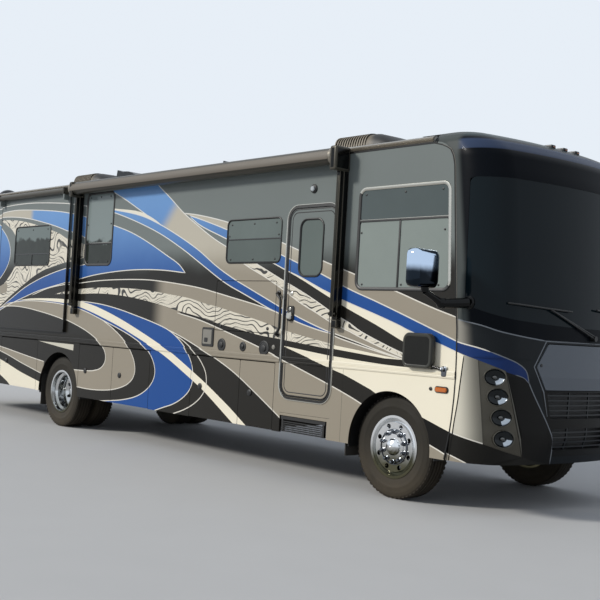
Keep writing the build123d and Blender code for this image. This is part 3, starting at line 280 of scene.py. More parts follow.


# ---------------------------------------------------------------- finishes by name
# Low and high tone of each paint: the high tone is a painted reflection of the sky
CHARCOAL, BLUE, TAUPE = ("#211f1b", "#717876"), ("#1d4c90", "#6c97cb"), ("#968e7f", "#b9b3a4")
# Painted reflections across the cap's brow as height and tone: pale bands where it faces the sky, dark lines
# between them
BROW = ((3.250, "#080c12"), (3.268, "#04060a"), (3.280, "#36425a"), (3.362, "#3d4a63"), (3.380, "#0a0f16"),
        (3.396, "#0a0f16"), (3.412, "#3c4749"), (3.450, "#465152"))
LOOKS = {
    "charcoal": paint("paint_charcoal", *CHARCOAL),
    "blue": paint("paint_blue", *BLUE, flake=0.05, span=FULL_SPAN),
    "taupe": paint("paint_taupe", *TAUPE),
    "taupe_fade": paint("paint_taupe_fade", *CHARCOAL, fade=(*TAUPE, -4.17, -3.84, MIDDLE_SPAN, 0)),
    "blue_fade": paint("paint_blue_fade", *BLUE, fade=(*TAUPE, -6.60, -6.28, MIDDLE_SPAN, 0.9), span=FULL_SPAN),
    "beige_fade": paint("paint_beige_fade", *TAUPE, fade=(*BLUE, -7.48, -7.32, FULL_SPAN, 0)),
    "cream": paint("paint_cream", "#eee7d2", "#e6e1d2", flake=0.02),
    "white": paint("paint_pinstripe", "#dedacf", "#dddcd6", flake=0.0),
    "marble": marble("paint_marbled", "#ddd6c4", "#2b2924"),
    # On the cap, silver, navy and nose paint are paler on the sides and darker towards the front: painted light
    # and shade where the nose turns from the light
    "silver": paint("paint_silver", "#6a6860", flake=0.14, across=("#cdc9ba", 0.93, 1.20)),
    "navy": paint("paint_navy", "#070b11", across=("#4d5251", 1.075, 1.15), bands=BROW, gloss=0.08, shine=0.05),
    "nose": paint("paint_nose", "#181c1f", across=("#908d84", 1.00, 1.17), flake=0.2, gloss=0.2),
    "black": paint("paint_black", "#0b0a08", flake=0.0),
    "smoke": paint("paint_smoke", "#1b1a17"),
    "deep_blue": paint("paint_deep_blue", "#133066", flake=0.05),
    # Grey lines on the cap: white pinstripes painted darker as shade on the nose, and a painted highlight along
    # the hood's edge
    "edge_line": paint("paint_shaded_pinstripe_and_highlight", "#7c8186", flake=0.0),
    "hood": paint("paint_hood", "#6a7077", flake=0.22),
    "black_plastic": surface("black_plastic", "#121212", roughness=0.45, bump=0.15, bump_scale=400),
    "gloss_black": surface("gloss_black", "#0a0b0b", roughness=0.12, ior=1.3),
    "grey_plastic": surface("grey_plastic", "#7d7a72", roughness=0.5, bump=0.08),
    "smoke_plastic": surface("smoke_plastic", "#1a1e21", roughness=0.25, ior=1.35),
    # Cooling unit shrouds: the darker second tone is painted shade on their noses
    "beige": shroud("beige_plastic", "#857b6a", "#1f1f1e"),
    "rubber": surface("rubber", "#161615", roughness=0.8, bump=0.2, bump_scale=120, grime=("#4a443b", 0.8)),
    "tyre": surface("tyre", "#1c1a17", roughness=0.78, bump=0.25, bump_scale=90, vary=0.2,
                    grime=("#4a4236", 0.75), ior=1.3),
    "tyre_side": surface("tyre_side", "#2c2923", roughness=0.7, bump=0.12, bump_scale=60, vary=0.18,
                         grime=("#544b3d", 0.6), ior=1.3),
    # Bright metals whose tone is a painted reflection: sky above a level, ground below
    "chrome": polished("chrome", "#6d7177", "#e4e8ee", 1.29, 0.05, 0.05),
    "mirror_chrome": polished("mirror_chrome", "#232a32", "#c6d8ee", 2.152, 0.045, 0.06, 0.05),
    "wheel": polished("polished_aluminium", "#605e4c", "#eceef0", 0.45, 0.15, 0.22),
    "dark_metal": surface("dark_metal", "#26251f", metallic=0.7, roughness=0.30, vary=0.2, stretch=(0.2, 4, 4)),
    "bright_trim": surface("bright_trim", "#c5c2b8", metallic=1.0, roughness=0.18, vary=0.06, stretch=(0.2, 5, 5)),
    "gutter": surface("gutter", "#918a7e", metallic=0.7, roughness=0.25, vary=0.12, stretch=(0.15, 6, 6)),
    "grille_bar": surface("grille_bar", "#3b3d3f", metallic=0.8, roughness=0.22, vary=0.15, stretch=(4, 0.3, 4)),
    "awning_tube": surface("awning_tube", "#4b4840", metallic=0.35, roughness=0.34, stretch=(0.1, 6, 6), ior=1.3),
    "awning_edge": surface("awning_fabric", "#574f43", bump=0.25, bump_scale=260, stretch=(0.3, 3, 3)),
    "roof_white": surface("roof_membrane", "#b9b6ae", roughness=0.6, bump=0.12, bump_scale=80, vary=0.06),
    "chassis": surface("chassis_black", "#151413", roughness=0.55, bump=0.15, vary=0.25, grime=("#3a352d", 0.9)),
    "deck": surface("deck_grey", "#2e2c29", roughness=0.8, bump=0.12, vary=0.2),
    "iron": surface("cast_iron", "#2b2926", metallic=0.5, roughness=0.6, bump=0.3, bump_scale=150, vary=0.3),
    "steel": surface("exhaust_steel", "#6b6257", metallic=0.9, roughness=0.4, vary=0.25),
    "aluminium": surface("aluminium", "#9a9c9e", metallic=0.9, roughness=0.35, vary=0.10),
    "glass": surface("tinted_glass", "#1b2022", roughness=0.04, ior=2.05, vary=0.06, scale=1.2),
    "windshield": surface("windshield", "#0f191e", roughness=0.03, ior=1.22, vary=0.3, scale=0.8),
    "pane": surface("privacy_glass", "#636d69", roughness=0.05, ior=1.3, vary=0.14, scale=1.4),
    # Pane tones whose differences between lower and upper panes are painted reflections
    "pale_pane": surface("pale_pane", "#868f8a", roughness=0.10, ior=1.3, vary=0.14, scale=1.8),
    "upper_pane": surface("upper_pane", "#515a5a", roughness=0.08, ior=1.3, vary=0.22, scale=1.2),
    "dark_pane": surface("dark_pane", "#5a6360", roughness=0.07, ior=1.3, vary=0.22, scale=1.5),
    "mid_pane": surface("mid_pane", "#66706d", roughness=0.07, ior=1.3, vary=0.22, scale=1.5),
    # Glass of the tall and low windows with painted reflections of sky and trees
    "tall_pane": tinted("tall_pane", "#232723", "#7d8887", 2.60, 0.30),
    "low_pane": tinted("low_pane", "#262a26", "#6b7674", 2.66, 0.35),
    "red_lens": surface("red_lens", "#8e1512", roughness=0.12, coat=0.5, bump=0.2, bump_scale=60),
    "amber": surface("amber_lens", "#c2661a", roughness=0.15, coat=0.5, bump=0.2, bump_scale=60),
    "lens": surface("clear_lens", "#aeb4b8", roughness=0.05, ior=1.6, vary=0.1),
    "projector": surface("projector_lens", "#10130f", roughness=0.03, ior=1.9, coat=0.6),
    "lamp_dark": surface("lamp_bowl", "#1b2022", metallic=0.3, roughness=0.10, ior=1.4, vary=0.3, scale=30),
    # The bowl's bright quarter: a painted reflection of the sky
    "lamp_painted_reflection": surface("lamp_bowl_painted_reflection", "#cfd9e2", metallic=0.35, roughness=0.10, scale=30),
    "bezel": surface("lamp_bezel", "#55524a", metallic=0.75, roughness=0.22, vary=0.22, scale=5),
    "mirror_glass": surface("mirror_glass", "#c9ced2", metallic=1.0, roughness=0.03, vary=0.03),
    "low_mirror": surface("low_mirror_shell", "#1a1a17", roughness=0.22, ior=1.3, vary=0.3, scale=7),
    "mirror_rim": surface("low_mirror_rim", "#3a3a35", roughness=0.3, ior=1.35, vary=0.15),
    "leather": surface("seat_leather", "#57483a", bump=0.3, bump_scale=110, vary=0.15),
    "dash": surface("dash_plastic", "#2a2724", roughness=0.6, bump=0.2, bump_scale=250),
}
# Finish of each CAD piece; a piece that isn't listed is painted charcoal
NODE_FINISH = {
    "aluminium": "levelling_jacks", "awning_tube": "awning", "beige": "air_conditioners", "bezel": "headlamps",
    "black_plastic": "entry_step wipers", "bright_trim": "ladder", "chassis": "chassis_frame fuel_tank",
    "dash": "dashboard", "deck": "floor_deck entry_stairwell luggage_bays",
    "glass": "side_windows slide_glass_right slide_glass_left", "gloss_black": "mirrors", "grille_bar": "grille",
    "hood": "hood", "iron": "engine_block front_axle rear_axle knuckle_right knuckle_left tie_rod",
    "leather": "cab_seats", "pane": "entry_door_glass", "red_lens": "tail_lamps", "roof_white": "roof",
    "rubber": "mud_flaps", "smoke_plastic": "roof_vents", "steel": "exhaust",
    "tyre": "front_tyre_right front_tyre_left rear_tyres_right rear_tyres_left",
    "wheel": "front_rim_right front_rim_left rear_rims_right rear_rims_left", "windshield": "windshield",
}


def finish_nodes():
    finish = {node: look for look, group in NODE_FINISH.items() for node in group.split()}
    for name, node in nodes.items():
        node.data.materials.clear()
        node.data.materials.append(LOOKS[finish.get(name, "charcoal")])


# ---------------------------------------------------------------- mesh helpers
def link_mesh(name, mesh, body):
    obj = bpy.data.objects.new(name, mesh)
    bpy.context.scene.collection.objects.link(obj)
    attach(obj, body)
    return obj


def add_mesh(name, points, faces, body, looks, indices=None, smooth=False, normals=None):
    """Object from plain points and faces."""
    mesh = bpy.data.meshes.new(name)
    mesh.from_pydata([tuple(p) for p in points], [], [tuple(f) for f in faces])
    for look in looks:
        mesh.materials.append(LOOKS[look])
    if indices is not None:
        mesh.polygons.foreach_set("material_index", np.asarray(indices, np.int32))
    if smooth:
        mesh.polygons.foreach_set("use_smooth", np.ones(len(mesh.polygons), bool))
    mesh.update()
    if normals is not None:
        mesh.normals_split_custom_set([tuple(n) for n in normals])
    return link_mesh(name, mesh, body)


def fitting(name, bm, body, looks, sharp=35, replaces=None):
    """Object from a bmesh, smooth but for edges sharper than so many degrees."""
    bmesh.ops.recalc_face_normals(bm, faces=bm.faces)
    for face in bm.faces:
        face.smooth = True
    for edge in bm.edges:
        if len(edge.link_faces) == 2 and edge.calc_face_angle(0) > math.radians(sharp):
            edge.smooth = False
    mesh = bpy.data.meshes.new(name)
    bm.to_mesh(mesh)
    bm.free()
    for look in looks:
        mesh.materials.append(LOOKS[look])
    obj = link_mesh(name, mesh, body)
    if replaces:
        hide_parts(replaces)


def bridge(bm, rows, material=0, closed=True):
    """Skin between rows of vertices; a row of one vertex closes to a point."""
    for low, high in zip(rows, rows[1:]):
        count = max(len(low), len(high))
        for k in range(count if closed else count - 1):
            corners = [row[i % len(row)] for row, i in ((low, k), (low, k + 1), (high, k + 1), (high, k))]
            face = bm.faces.new(list(dict.fromkeys(corners)))
            face.material_index = material(k) if callable(material) else material


def bar(bm, rows, material=0):
    """Solid through rows of vertices, closed by a flat face at both ends."""
    bridge(bm, rows, material)
    for end in (rows[0][::-1], rows[-1]):
        bm.faces.new(end).material_index = material


def add_box(bm, x0, x1, y0, y1, z0, z1, bevel=0.0, material=0):
    """Block with its edges rounded."""
    made = bmesh.ops.create_cube(bm, size=1.0)["verts"]
    bmesh.ops.scale(bm, vec=(abs(x1 - x0), abs(y1 - y0), abs(z1 - z0)), verts=made)
    bmesh.ops.translate(bm, vec=((x0 + x1) / 2 + AXLE, (y0 + y1) / 2, (z0 + z1) / 2), verts=made)
    faces = list({f for v in made for f in v.link_faces})
    for face in faces:
        face.material_index = material
    if bevel:
        edges = list({e for f in faces for e in f.edges})
        bmesh.ops.bevel(bm, geom=edges, offset=bevel, segments=3, affect="EDGES", profile=0.6)


def add_lathe(bm, profile, centre, axis="Y", segments=48, material=0, flip=1):
    """Turned form from (distance along the axis, radius) points."""
    rings = []
    for along, radius in profile:
        ring = []
        for index in range(segments if radius > 1e-6 else 1):
            angle = 2 * math.pi * index / segments
            a, b, c = radius * math.cos(angle), radius * math.sin(angle), along * flip
            offset = {"X": (c, a, b), "Y": (a, c, b), "Z": (a, b, c)}[axis]
            ring.append(bm.verts.new(Vector(centre) + SHIFT + Vector(offset)))
        rings.append(ring)
    bridge(bm, rings, material)


def tube(bm, points, radius, sides=10, material=0):
    """Round bar along a line of points, closed at both ends."""
    pts = [Vector(p) + SHIFT for p in points]
    side = (pts[1] - pts[0]).normalized().orthogonal().normalized()
    rings = []
    for index, here in enumerate(pts):
        ahead = (pts[min(index + 1, len(pts) - 1)] - pts[max(index - 1, 0)]).normalized()
        side = (side - ahead * side.dot(ahead)).normalized()
        other = ahead.cross(side)
        size = radius[index] if isinstance(radius, (list, tuple)) else radius
        angles = [2 * math.pi * k / sides for k in range(sides)]
        rings.append([bm.verts.new(here + (side * math.cos(a) + other * math.sin(a)) * size) for a in angles])
    bar(bm, rings, material)


def extrude_x(bm, profile, x0, x1, material=0):
    """Straight moulding along the body from (y, z) points."""
    bar(bm, [[bm.verts.new((x + AXLE, y, z)) for y, z in profile] for x in (x0, x1)], material)


# ---------------------------------------------------------------- outlines and triangles
def rounded(points, radius, steps=6):
    """Closed outline with each corner rounded."""
    result = []
    count = len(points)
    for index in range(count):
        before, here, after = (Vector(points[(index + k) % count]) for k in (-1, 0, 1))
        a, b = (before - here).normalized(), (after - here).normalized()
        half_angle = a.angle(b) / 2
        reach = min(radius / math.tan(half_angle), (before - here).length * 0.49, (after - here).length * 0.49)
        actual = reach * math.tan(half_angle)
        centre = here + (a + b).normalized() * (actual / math.sin(half_angle))
        start, end = here + a * reach - centre, here + b * reach - centre
        sweep = start.angle(end)
        turn = 1 if start.x * end.y - start.y * end.x > 0 else -1
        for step in range(steps + 1):
            angle = turn * sweep * step / steps
            c, s = math.cos(angle), math.sin(angle)
            result.append((centre.x + start.x * c - start.y * s, centre.y + start.x * s + start.y * c))
    return result


def rectangle(x0, x1, z0, z1, radius=0.0, grow=0.0, slant=0.0, steps=6):
    """Upright outline, grown on all sides; its top front corner leans back by the slant."""
    rear, front, low, high = x0 - grow, x1 + grow, z0 - grow, z1 + grow
    points = [(rear, low), (front, low), (front - slant, high), (rear, high)]
    return rounded(points, radius + grow, steps) if radius + grow > 0 else points


def smooth_line(points, steps=5):
    """Curve through the points (centripetal Catmull-Rom)."""
    pts = [np.array(p, float) for p in points]
    pts = [2 * pts[0] - pts[1], *pts, 2 * pts[-1] - pts[-2]]
    result = [pts[1]]
    for a, b, c, d in zip(pts, pts[1:], pts[2:], pts[3:]):
        knots = [0.0]
        for p, q in ((a, b), (b, c), (c, d)):
            knots.append(knots[-1] + max(np.linalg.norm(q - p), 1e-4) ** 0.5)
        t0, t1, t2, t3 = knots
        for step in range(1, steps + 1):
            t = t1 + (t2 - t1) * step / steps
            a1 = (t1 - t) / (t1 - t0) * a + (t - t0) / (t1 - t0) * b
            a2 = (t2 - t) / (t2 - t1) * b + (t - t1) / (t2 - t1) * c
            a3 = (t3 - t) / (t3 - t2) * c + (t - t2) / (t3 - t2) * d
            b1 = (t2 - t) / (t2 - t0) * a1 + (t - t0) / (t2 - t0) * a2
            b2 = (t3 - t) / (t3 - t1) * a2 + (t - t1) / (t3 - t1) * a3
            result.append((t2 - t) / (t2 - t1) * b1 + (t - t1) / (t2 - t1) * b2)
    return [tuple(p) for p in result]


def ribbon(points, width):
    """Thin band along a curve, tapered at its ends."""
    pts = np.array(points)
    way = np.vstack([pts[1:], pts[-1:]]) - np.vstack([pts[:1], pts[:-1]])
    way /= np.maximum(np.linalg.norm(way, axis=1), 1e-9)[:, None]
    side = np.stack([-way[:, 1], way[:, 0]], 1) * width / 2
    side[0] *= 0.35
    side[-1] *= 0.35
    return [[tuple(p) for p in pts + side] + [tuple(p) for p in (pts - side)[::-1]]]


def odd_crossings(points, segments):
    """Even-odd test of points against segments given as x0, y0, x1, y1."""
    x, y = points[:, :1], points[:, 1:]
    x0, y0, x1, y1 = segments.T
    with np.errstate(divide="ignore", invalid="ignore"):
        at = (x1 - x0) * (y - y0) / (y1 - y0) + x0
    return (np.sum(((y0 > y) != (y1 > y)) & (x < at), axis=1) % 2).astype(bool)


def inside(points, loops):
    """Which of many points lie in any of the closed loops."""
    hit = np.zeros(len(points), bool)
    for loop in loops:
        ring = np.asarray(loop, float)
        near = np.all((points >= ring.min(0)) & (points <= ring.max(0)), axis=1)
        hit[near] |= odd_crossings(points[near], np.hstack([ring, np.roll(ring, -1, 0)]))
    return hit


def inside_segments(points, segments, batch=4000):
    """Which of many points lie in the area that loose boundary segments enclose."""
    ends = np.array(segments, float).reshape(-1, 4)
    parts = [odd_crossings(points[start:start + batch], ends) for start in range(0, len(points), batch)]
    return np.concatenate(parts)


def triangulate(loops, lines=(), points=()):
    """Constrained triangles whose edges follow every loop and line, with their centres."""
    coords, edges, index_of = [], [], {}

    def vertex(p):
        key = (round(p[0], 5), round(p[1], 5))
        if key not in index_of:
            index_of[key] = len(coords)
            coords.append(Vector(key))
        return index_of[key]

    for closed, group in ((True, loops), (False, lines)):
        for loop in group:
            ids = [vertex(p) for p in loop]
            pairs = zip(ids, ids[1:] + ids[:1]) if closed else zip(ids, ids[1:])
            edges += [pair for pair in pairs if pair[0] != pair[1]]
    for p in points:
        vertex(p)
    edges = list({tuple(sorted(e)) for e in edges})
    made = delaunay_2d_cdt(coords, edges, [], 0, 1e-5)
    verts, faces = np.array([tuple(v) for v in made[0]]), np.array([f for f in made[2] if len(f) == 3])
    return verts, faces, verts[faces].mean(axis=1)


def twice_area(corners):
    return np.cross(corners[:, 1] - corners[:, 0], corners[:, 2] - corners[:, 0])


def own_faces(verts, faces, sense):
    """The points that the faces use and the faces over them, all wound one way."""
    used, local = np.unique(faces, return_inverse=True)
    local = local.reshape(faces.shape)
    flip = twice_area(verts[used][local]) * sense > 0
    local[flip] = local[flip][:, ::-1]
    return verts[used], local


def colour_index(centres, layers, names, ground):
    """Which colour each triangle has, later layers over earlier ones."""
    colour = np.full(len(centres), names.index(ground))
    for name, loops in layers:
        colour[inside(centres, loops)] = names.index(name)
    return colour


# ---------------------------------------------------------------- painted design of the sides
# Each curve runs along the right wall as x, z and was measured in the photograph.
CURVES = {
    "oval": [(-8.62, 2.94), (-8.547, 2.929), (-8.362, 2.844), (-8.172, 2.709), (-8.07, 2.578), (-8.041, 2.476),
        (-8.065, 2.348), (-8.184, 2.196), (-8.418, 2.034), (-8.64, 1.96), (-8.9, 2.03), (-9.12, 2.22),
        (-9.2, 2.45), (-9.1, 2.69), (-8.88, 2.88), (-8.62, 2.94)],
    "arc_1": [(-10.1, 2.60), (-9.75, 2.85), (-9.2, 3.06), (-8.581, 3.166), (-8.101, 3.201), (-7.479, 3.206),
        (-7.065, 3.19), (-6.617, 3.163), (-6.316, 3.139), (-5.807, 3.078), (-5.166, 3.018)],
    "arc_2": [(-10.1, 2.36), (-9.75, 2.66), (-9.2, 2.93), (-8.568, 3.074), (-8.285, 3.107), (-7.951, 3.121),
        (-7.465, 3.104), (-6.699, 3.051), (-6.311, 3.007), (-5.821, 2.924), (-5.139, 2.789), (-4.682, 2.675),
        (-4.281, 2.537), (-3.896, 2.383), (-3.599, 2.258), (-3.457, 2.156)],
    "tri_low": [(-3.457, 2.156), (-3.875, 2.188), (-4.32, 2.201), (-4.786, 2.192), (-5.275, 2.161),
        (-5.615, 2.128), (-5.965, 2.078), (-6.309, 2.02), (-7.049, 1.903), (-7.603, 1.775), (-8.028, 1.665),
        (-8.354, 1.56), (-8.9, 1.34), (-9.5, 1.05), (-10.1, 0.72)],
    "arc_3": [(-10.1, 2.26), (-9.7, 2.58), (-9.15, 2.85), (-8.56, 3.021), (-8.388, 3.03), (-8.104, 3.025),
        (-7.771, 3.003), (-7.447, 2.968), (-7.078, 2.91), (-6.671, 2.835), (-6.327, 2.757), (-5.994, 2.683),
        (-5.75, 2.6), (-5.40, 2.46)],
    "arc_4": [(-8.44, 2.99), (-7.986, 2.972), (-7.628, 2.935), (-7.226, 2.869), (-6.812, 2.785),
        (-6.561, 2.729), (-6.313, 2.645), (-5.97, 2.578), (-5.72, 2.505), (-5.50, 2.43)],
    "marble1_left": [(-8.44, 2.99), (-8.258, 2.918), (-8.02, 2.82), (-7.9, 2.72), (-7.824, 2.598),
        (-7.80, 2.46), (-7.816, 2.346), (-7.887, 2.234), (-8.059, 2.086), (-8.24, 1.97), (-8.404, 1.90)],
    "marble1_low": [(-5.50, 2.43), (-5.799, 2.384), (-5.999, 2.354), (-6.32, 2.309), (-6.743, 2.24),
        (-6.935, 2.203), (-7.253, 2.106), (-7.526, 1.994), (-7.83, 1.865), (-8.037, 1.772), (-8.357, 1.611),
        (-8.8, 1.43), (-9.3, 1.2)],
    "blue2_top": [(-5.40, 2.36), (-5.778, 2.289), (-5.988, 2.262), (-6.33, 2.218), (-6.729, 2.148),
        (-7.118, 2.057), (-7.493, 1.945), (-7.967, 1.753), (-8.355, 1.586), (-8.9, 1.36), (-9.5, 1.08),
        (-10.1, 0.76)],
    "vee_1": [(-7.242, 1.836), (-6.8, 1.937), (-6.325, 1.995), (-5.958, 2.021), (-5.433, 2.057),
        (-4.773, 2.074), (-4.23, 2.069), (-3.681, 2.031), (-3.163, 1.979), (-2.814, 1.924), (-2.499, 1.871),
        (-2.106, 1.804), (-1.787, 1.742), (-1.70, 1.722)],
    "marble2_top": [(-6.57, 1.858), (-6.312, 1.895), (-5.993, 1.933), (-5.594, 1.959), (-5.003, 1.964),
        (-4.407, 1.948), (-3.845, 1.902), (-3.317, 1.849), (-3.127, 1.813), (-2.8, 1.765), (-2.484, 1.711),
        (-2.091, 1.643), (-1.774, 1.581), (-1.579, 1.54), (-1.336, 1.498), (-0.875, 1.433), (-0.775, 1.414),
        (-0.428, 1.383), (-0.098, 1.349), (0.139, 1.328)],
    "marble2_low": [(-6.57, 1.858), (-5.94, 1.872), (-5.413, 1.884), (-4.91, 1.867), (-4.393, 1.821),
        (-3.975, 1.766), (-3.541, 1.695), (-3.129, 1.637), (-2.781, 1.576), (-2.314, 1.512), (-2.018, 1.472),
        (-1.763, 1.450), (-1.583, 1.436), (-0.883, 1.377), (-0.772, 1.38), (-0.426, 1.354), (-0.096, 1.329),
        (0.14, 1.326)],
    "stripe1_top": [(-5.60, 3.058), (-5.164, 3.0), (-4.511, 2.894), (-4.083, 2.771), (-3.562, 2.576),
        (-3.187, 2.412), (-2.844, 2.232), (-2.488, 2.079), (-2.271, 2.0), (-1.795, 1.829), (-1.64, 1.774),
        (-1.405, 1.696), (-1.088, 1.602), (-0.872, 1.546)],
    "stripe1_low": [(-5.60, 3.052), (-5.16, 2.962), (-4.701, 2.848), (-4.071, 2.656), (-3.549, 2.448),
        (-3.173, 2.274), (-2.671, 2.043), (-2.262, 1.902), (-1.817, 1.752), (-1.634, 1.703), (-1.427, 1.643),
        (-1.085, 1.568), (-0.871, 1.534)],
    "diag_left": [(-5.55, 3.40), (-5.323, 3.287), (-4.891, 3.118), (-4.518, 2.958), (-4.084, 2.772)],
    "diag_right": [(-4.34, 3.40), (-4.154, 3.265), (-3.862, 3.081), (-3.559, 2.882), (-3.236, 2.709),
        (-2.94, 2.562), (-2.691, 2.461), (-2.4, 2.36), (-2.118, 2.254), (-1.652, 2.071), (-1.376, 1.967),
        (-1.109, 1.858), (-0.876, 1.753), (-0.591, 1.643), (-0.457, 1.579), (-0.14, 1.47), (0.174, 1.376),
        (0.45, 1.30)],
    "sliver_top": [(-5.60, 3.065), (-5.171, 3.018), (-4.533, 2.944), (-4.224, 2.847), (-3.973, 2.73)],
    "band_f1": [(-3.559, 2.882), (-3.25, 2.844), (-2.641, 2.729), (-1.716, 2.483), (-1.412, 2.388),
        (-0.878, 2.226), (-0.041, 1.985), (0.06, 1.955), (0.463, 1.828), (0.78, 1.741)],
    "band_f2": [(-3.435, 2.846), (-3.225, 2.797), (-2.68, 2.65), (-1.718, 2.352), (-1.386, 2.244),
        (-1.083, 2.15), (-0.866, 2.072), (-0.594, 1.975), (-0.254, 1.872), (0.072, 1.767), (0.508, 1.622),
        (0.80, 1.525)],
    "band_f3": [(-3.416, 2.825), (-3.218, 2.724), (-2.686, 2.546), (-1.834, 2.26), (-1.593, 2.175),
        (-1.388, 2.111), (-0.865, 1.922), (-0.607, 1.843), (-0.244, 1.742), (0.082, 1.644), (0.18, 1.609),
        (0.574, 1.498), (0.80, 1.430)],
    "band_f3b": [(-1.593, 2.171), (-1.387, 2.095), (-0.863, 1.88), (-0.602, 1.777), (-0.237, 1.645),
        (0.092, 1.514), (0.182, 1.48), (0.45, 1.31)],
    "band_f5": [(-2.675, 2.431), (-2.339, 2.256), (-1.932, 2.098), (-1.615, 1.96), (-1.365, 1.84),
        (-1.099, 1.739), (-0.88, 1.652), (-0.585, 1.562), (-0.454, 1.519), (0.103, 1.36), (0.25, 1.335)],
    "cream1_top": [(-7.653, 1.755), (-7.278, 1.785), (-6.556, 1.796), (-6.307, 1.792), (-5.931, 1.772),
        (-5.576, 1.726), (-5.231, 1.655), (-4.842, 1.558), (-4.468, 1.450), (-4.084, 1.331), (-3.715, 1.209),
        (-3.43, 1.094), (-3.198, 0.993), (-2.928, 0.873), (-2.666, 0.745), (-2.438, 0.63), (-2.099, 0.44)],
    "cream1_low": [(-7.653, 1.755), (-7.126, 1.765), (-6.777, 1.758), (-6.301, 1.736), (-5.95, 1.696),
        (-5.563, 1.624), (-5.189, 1.54), (-4.83, 1.452), (-4.456, 1.346), (-4.123, 1.245), (-3.826, 1.150),
        (-3.56, 1.045), (-3.347, 0.954), (-3.187, 0.885), (-2.985, 0.795), (-2.785, 0.690), (-2.612, 0.595),
        (-2.423, 0.490), (-2.33, 0.44)],
    "ring_x1": [(-8.041, 1.698), (-7.515, 1.746), (-7.125, 1.752), (-6.775, 1.743), (-6.327, 1.718),
        (-5.962, 1.671), (-5.678, 1.620), (-5.299, 1.532), (-4.936, 1.446), (-4.612, 1.360), (-4.348, 1.271),
        (-4.191, 1.197), (-4.087, 1.121), (-4.015, 1.031), (-3.981, 0.939), (-3.997, 0.848), (-4.081, 0.744),
        (-4.23, 0.65), (-4.422, 0.579), (-4.723, 0.518), (-5.011, 0.483), (-5.338, 0.450)],
    "cres_y1": [(-5.9, 1.772), (-5.665, 1.762), (-5.296, 1.735), (-4.856, 1.678), (-4.435, 1.605),
        (-4.057, 1.534), (-3.766, 1.465), (-3.597, 1.399), (-3.429, 1.302), (-3.306, 1.192), (-3.217, 1.069),
        (-3.182, 0.953), (-3.193, 0.840), (-3.26, 0.740), (-3.384, 0.650), (-3.557, 0.571), (-3.758, 0.512),
        (-3.966, 0.450)],
    "ring_x2": [(-5.299, 1.532), (-5.042, 1.438), (-4.816, 1.333), (-4.648, 1.229), (-4.533, 1.123),
        (-4.458, 1.017), (-4.433, 0.909), (-4.474, 0.813), (-4.592, 0.731), (-4.741, 0.678), (-4.948, 0.633),
        (-5.216, 0.604), (-5.552, 0.591), (-5.98, 0.602)],
    "ring_x3": [(-8.355, 1.60), (-8.164, 1.645), (-7.814, 1.662), (-7.409, 1.645), (-7.017, 1.607),
        (-6.638, 1.562), (-6.299, 1.51), (-5.97, 1.441), (-5.702, 1.372), (-5.439, 1.28), (-5.281, 1.197),
        (-5.186, 1.113), (-5.158, 1.038), (-5.18, 0.962), (-5.269, 0.892), (-5.437, 0.849), (-5.637, 0.832),
        (-6.04, 0.823)],
    "out_arc": [(-3.621, 1.405), (-3.48, 1.365), (-3.34, 1.306), (-3.178, 1.220), (-3.038, 1.115),
        (-2.942, 1.005), (-2.911, 0.905), (-2.922, 0.811), (-2.998, 0.708), (-3.138, 0.610), (-3.327, 0.525),
        (-3.568, 0.45)],
    "line_h2": [(-3.766, 1.465), (-3.404, 1.371), (-3.072, 1.269), (-2.74, 1.162), (-2.388, 1.025),
        (-2.109, 0.889), (-1.81, 0.734), (-1.579, 0.61), (-1.40, 0.50)],
    "line_h1": [(-3.58, 1.672), (-3.106, 1.598), (-2.522, 1.466), (-2.006, 1.342), (-1.633, 1.238),
        (-1.564, 1.218), (-0.865, 1.022), (-0.643, 0.956), (-0.427, 0.885), (-0.2, 0.80)],
    "black2_low": [(-1.578, 1.373), (-0.877, 1.31), (-0.766, 1.304), (-0.42, 1.283), (-0.092, 1.268),
        (0.205, 1.262), (0.40, 1.262), (0.633, 1.269)],
    "black2_top": [(-1.583, 1.436), (-0.882, 1.377), (-0.771, 1.371), (-0.425, 1.342), (-0.096, 1.320),
        (0.202, 1.306), (0.45, 1.288), (0.633, 1.269)],
    "cream_low": [(-1.577, 1.367), (-0.867, 1.19), (-0.772, 1.164), (-0.648, 1.136), (-0.489, 1.088),
        (-0.25, 1.012), (-0.068, 0.952)],
    "line_t1": [(-0.871, 1.548), (-0.78, 1.529), (-0.52, 1.474), (-0.182, 1.397), (0.139, 1.334)],
    "line_t2": [(-0.871, 1.534), (-0.78, 1.503), (-0.518, 1.448), (-0.181, 1.385), (0.139, 1.331)],
    "front_black_top": [(0.30, 0.85), (0.388, 0.824), (0.552, 0.775), (0.713, 0.727), (0.80, 0.705)],
    "front_black_low": [(0.35, 0.625), (0.471, 0.589), (0.611, 0.546), (0.728, 0.505), (0.80, 0.48)],
    "z1": [(-10.1, 1.22), (-9.2, 1.13), (-8.274, 1.034), (-7.943, 1.0), (-7.466, 0.947), (-7.07, 0.906),
        (-6.83, 0.884)],
    "z2": [(-10.1, 1.19), (-9.2, 1.08), (-8.264, 0.964), (-7.93, 0.906), (-7.605, 0.838), (-7.291, 0.78),
        (-6.85, 0.70)],
    "z3_top": [(-10.1, 1.10), (-9.2, 0.97), (-8.245, 0.836), (-8.043, 0.797), (-7.585, 0.696), (-7.272, 0.64),
        (-6.93, 0.585)],
    "z3_low": [(-9.3, 0.90), (-8.7, 0.76), (-8.212, 0.602), (-7.95, 0.51), (-7.807, 0.45), (-6.93, 0.45)],
}
CURVES = {name: smooth_line(points) for name, points in CURVES.items()}

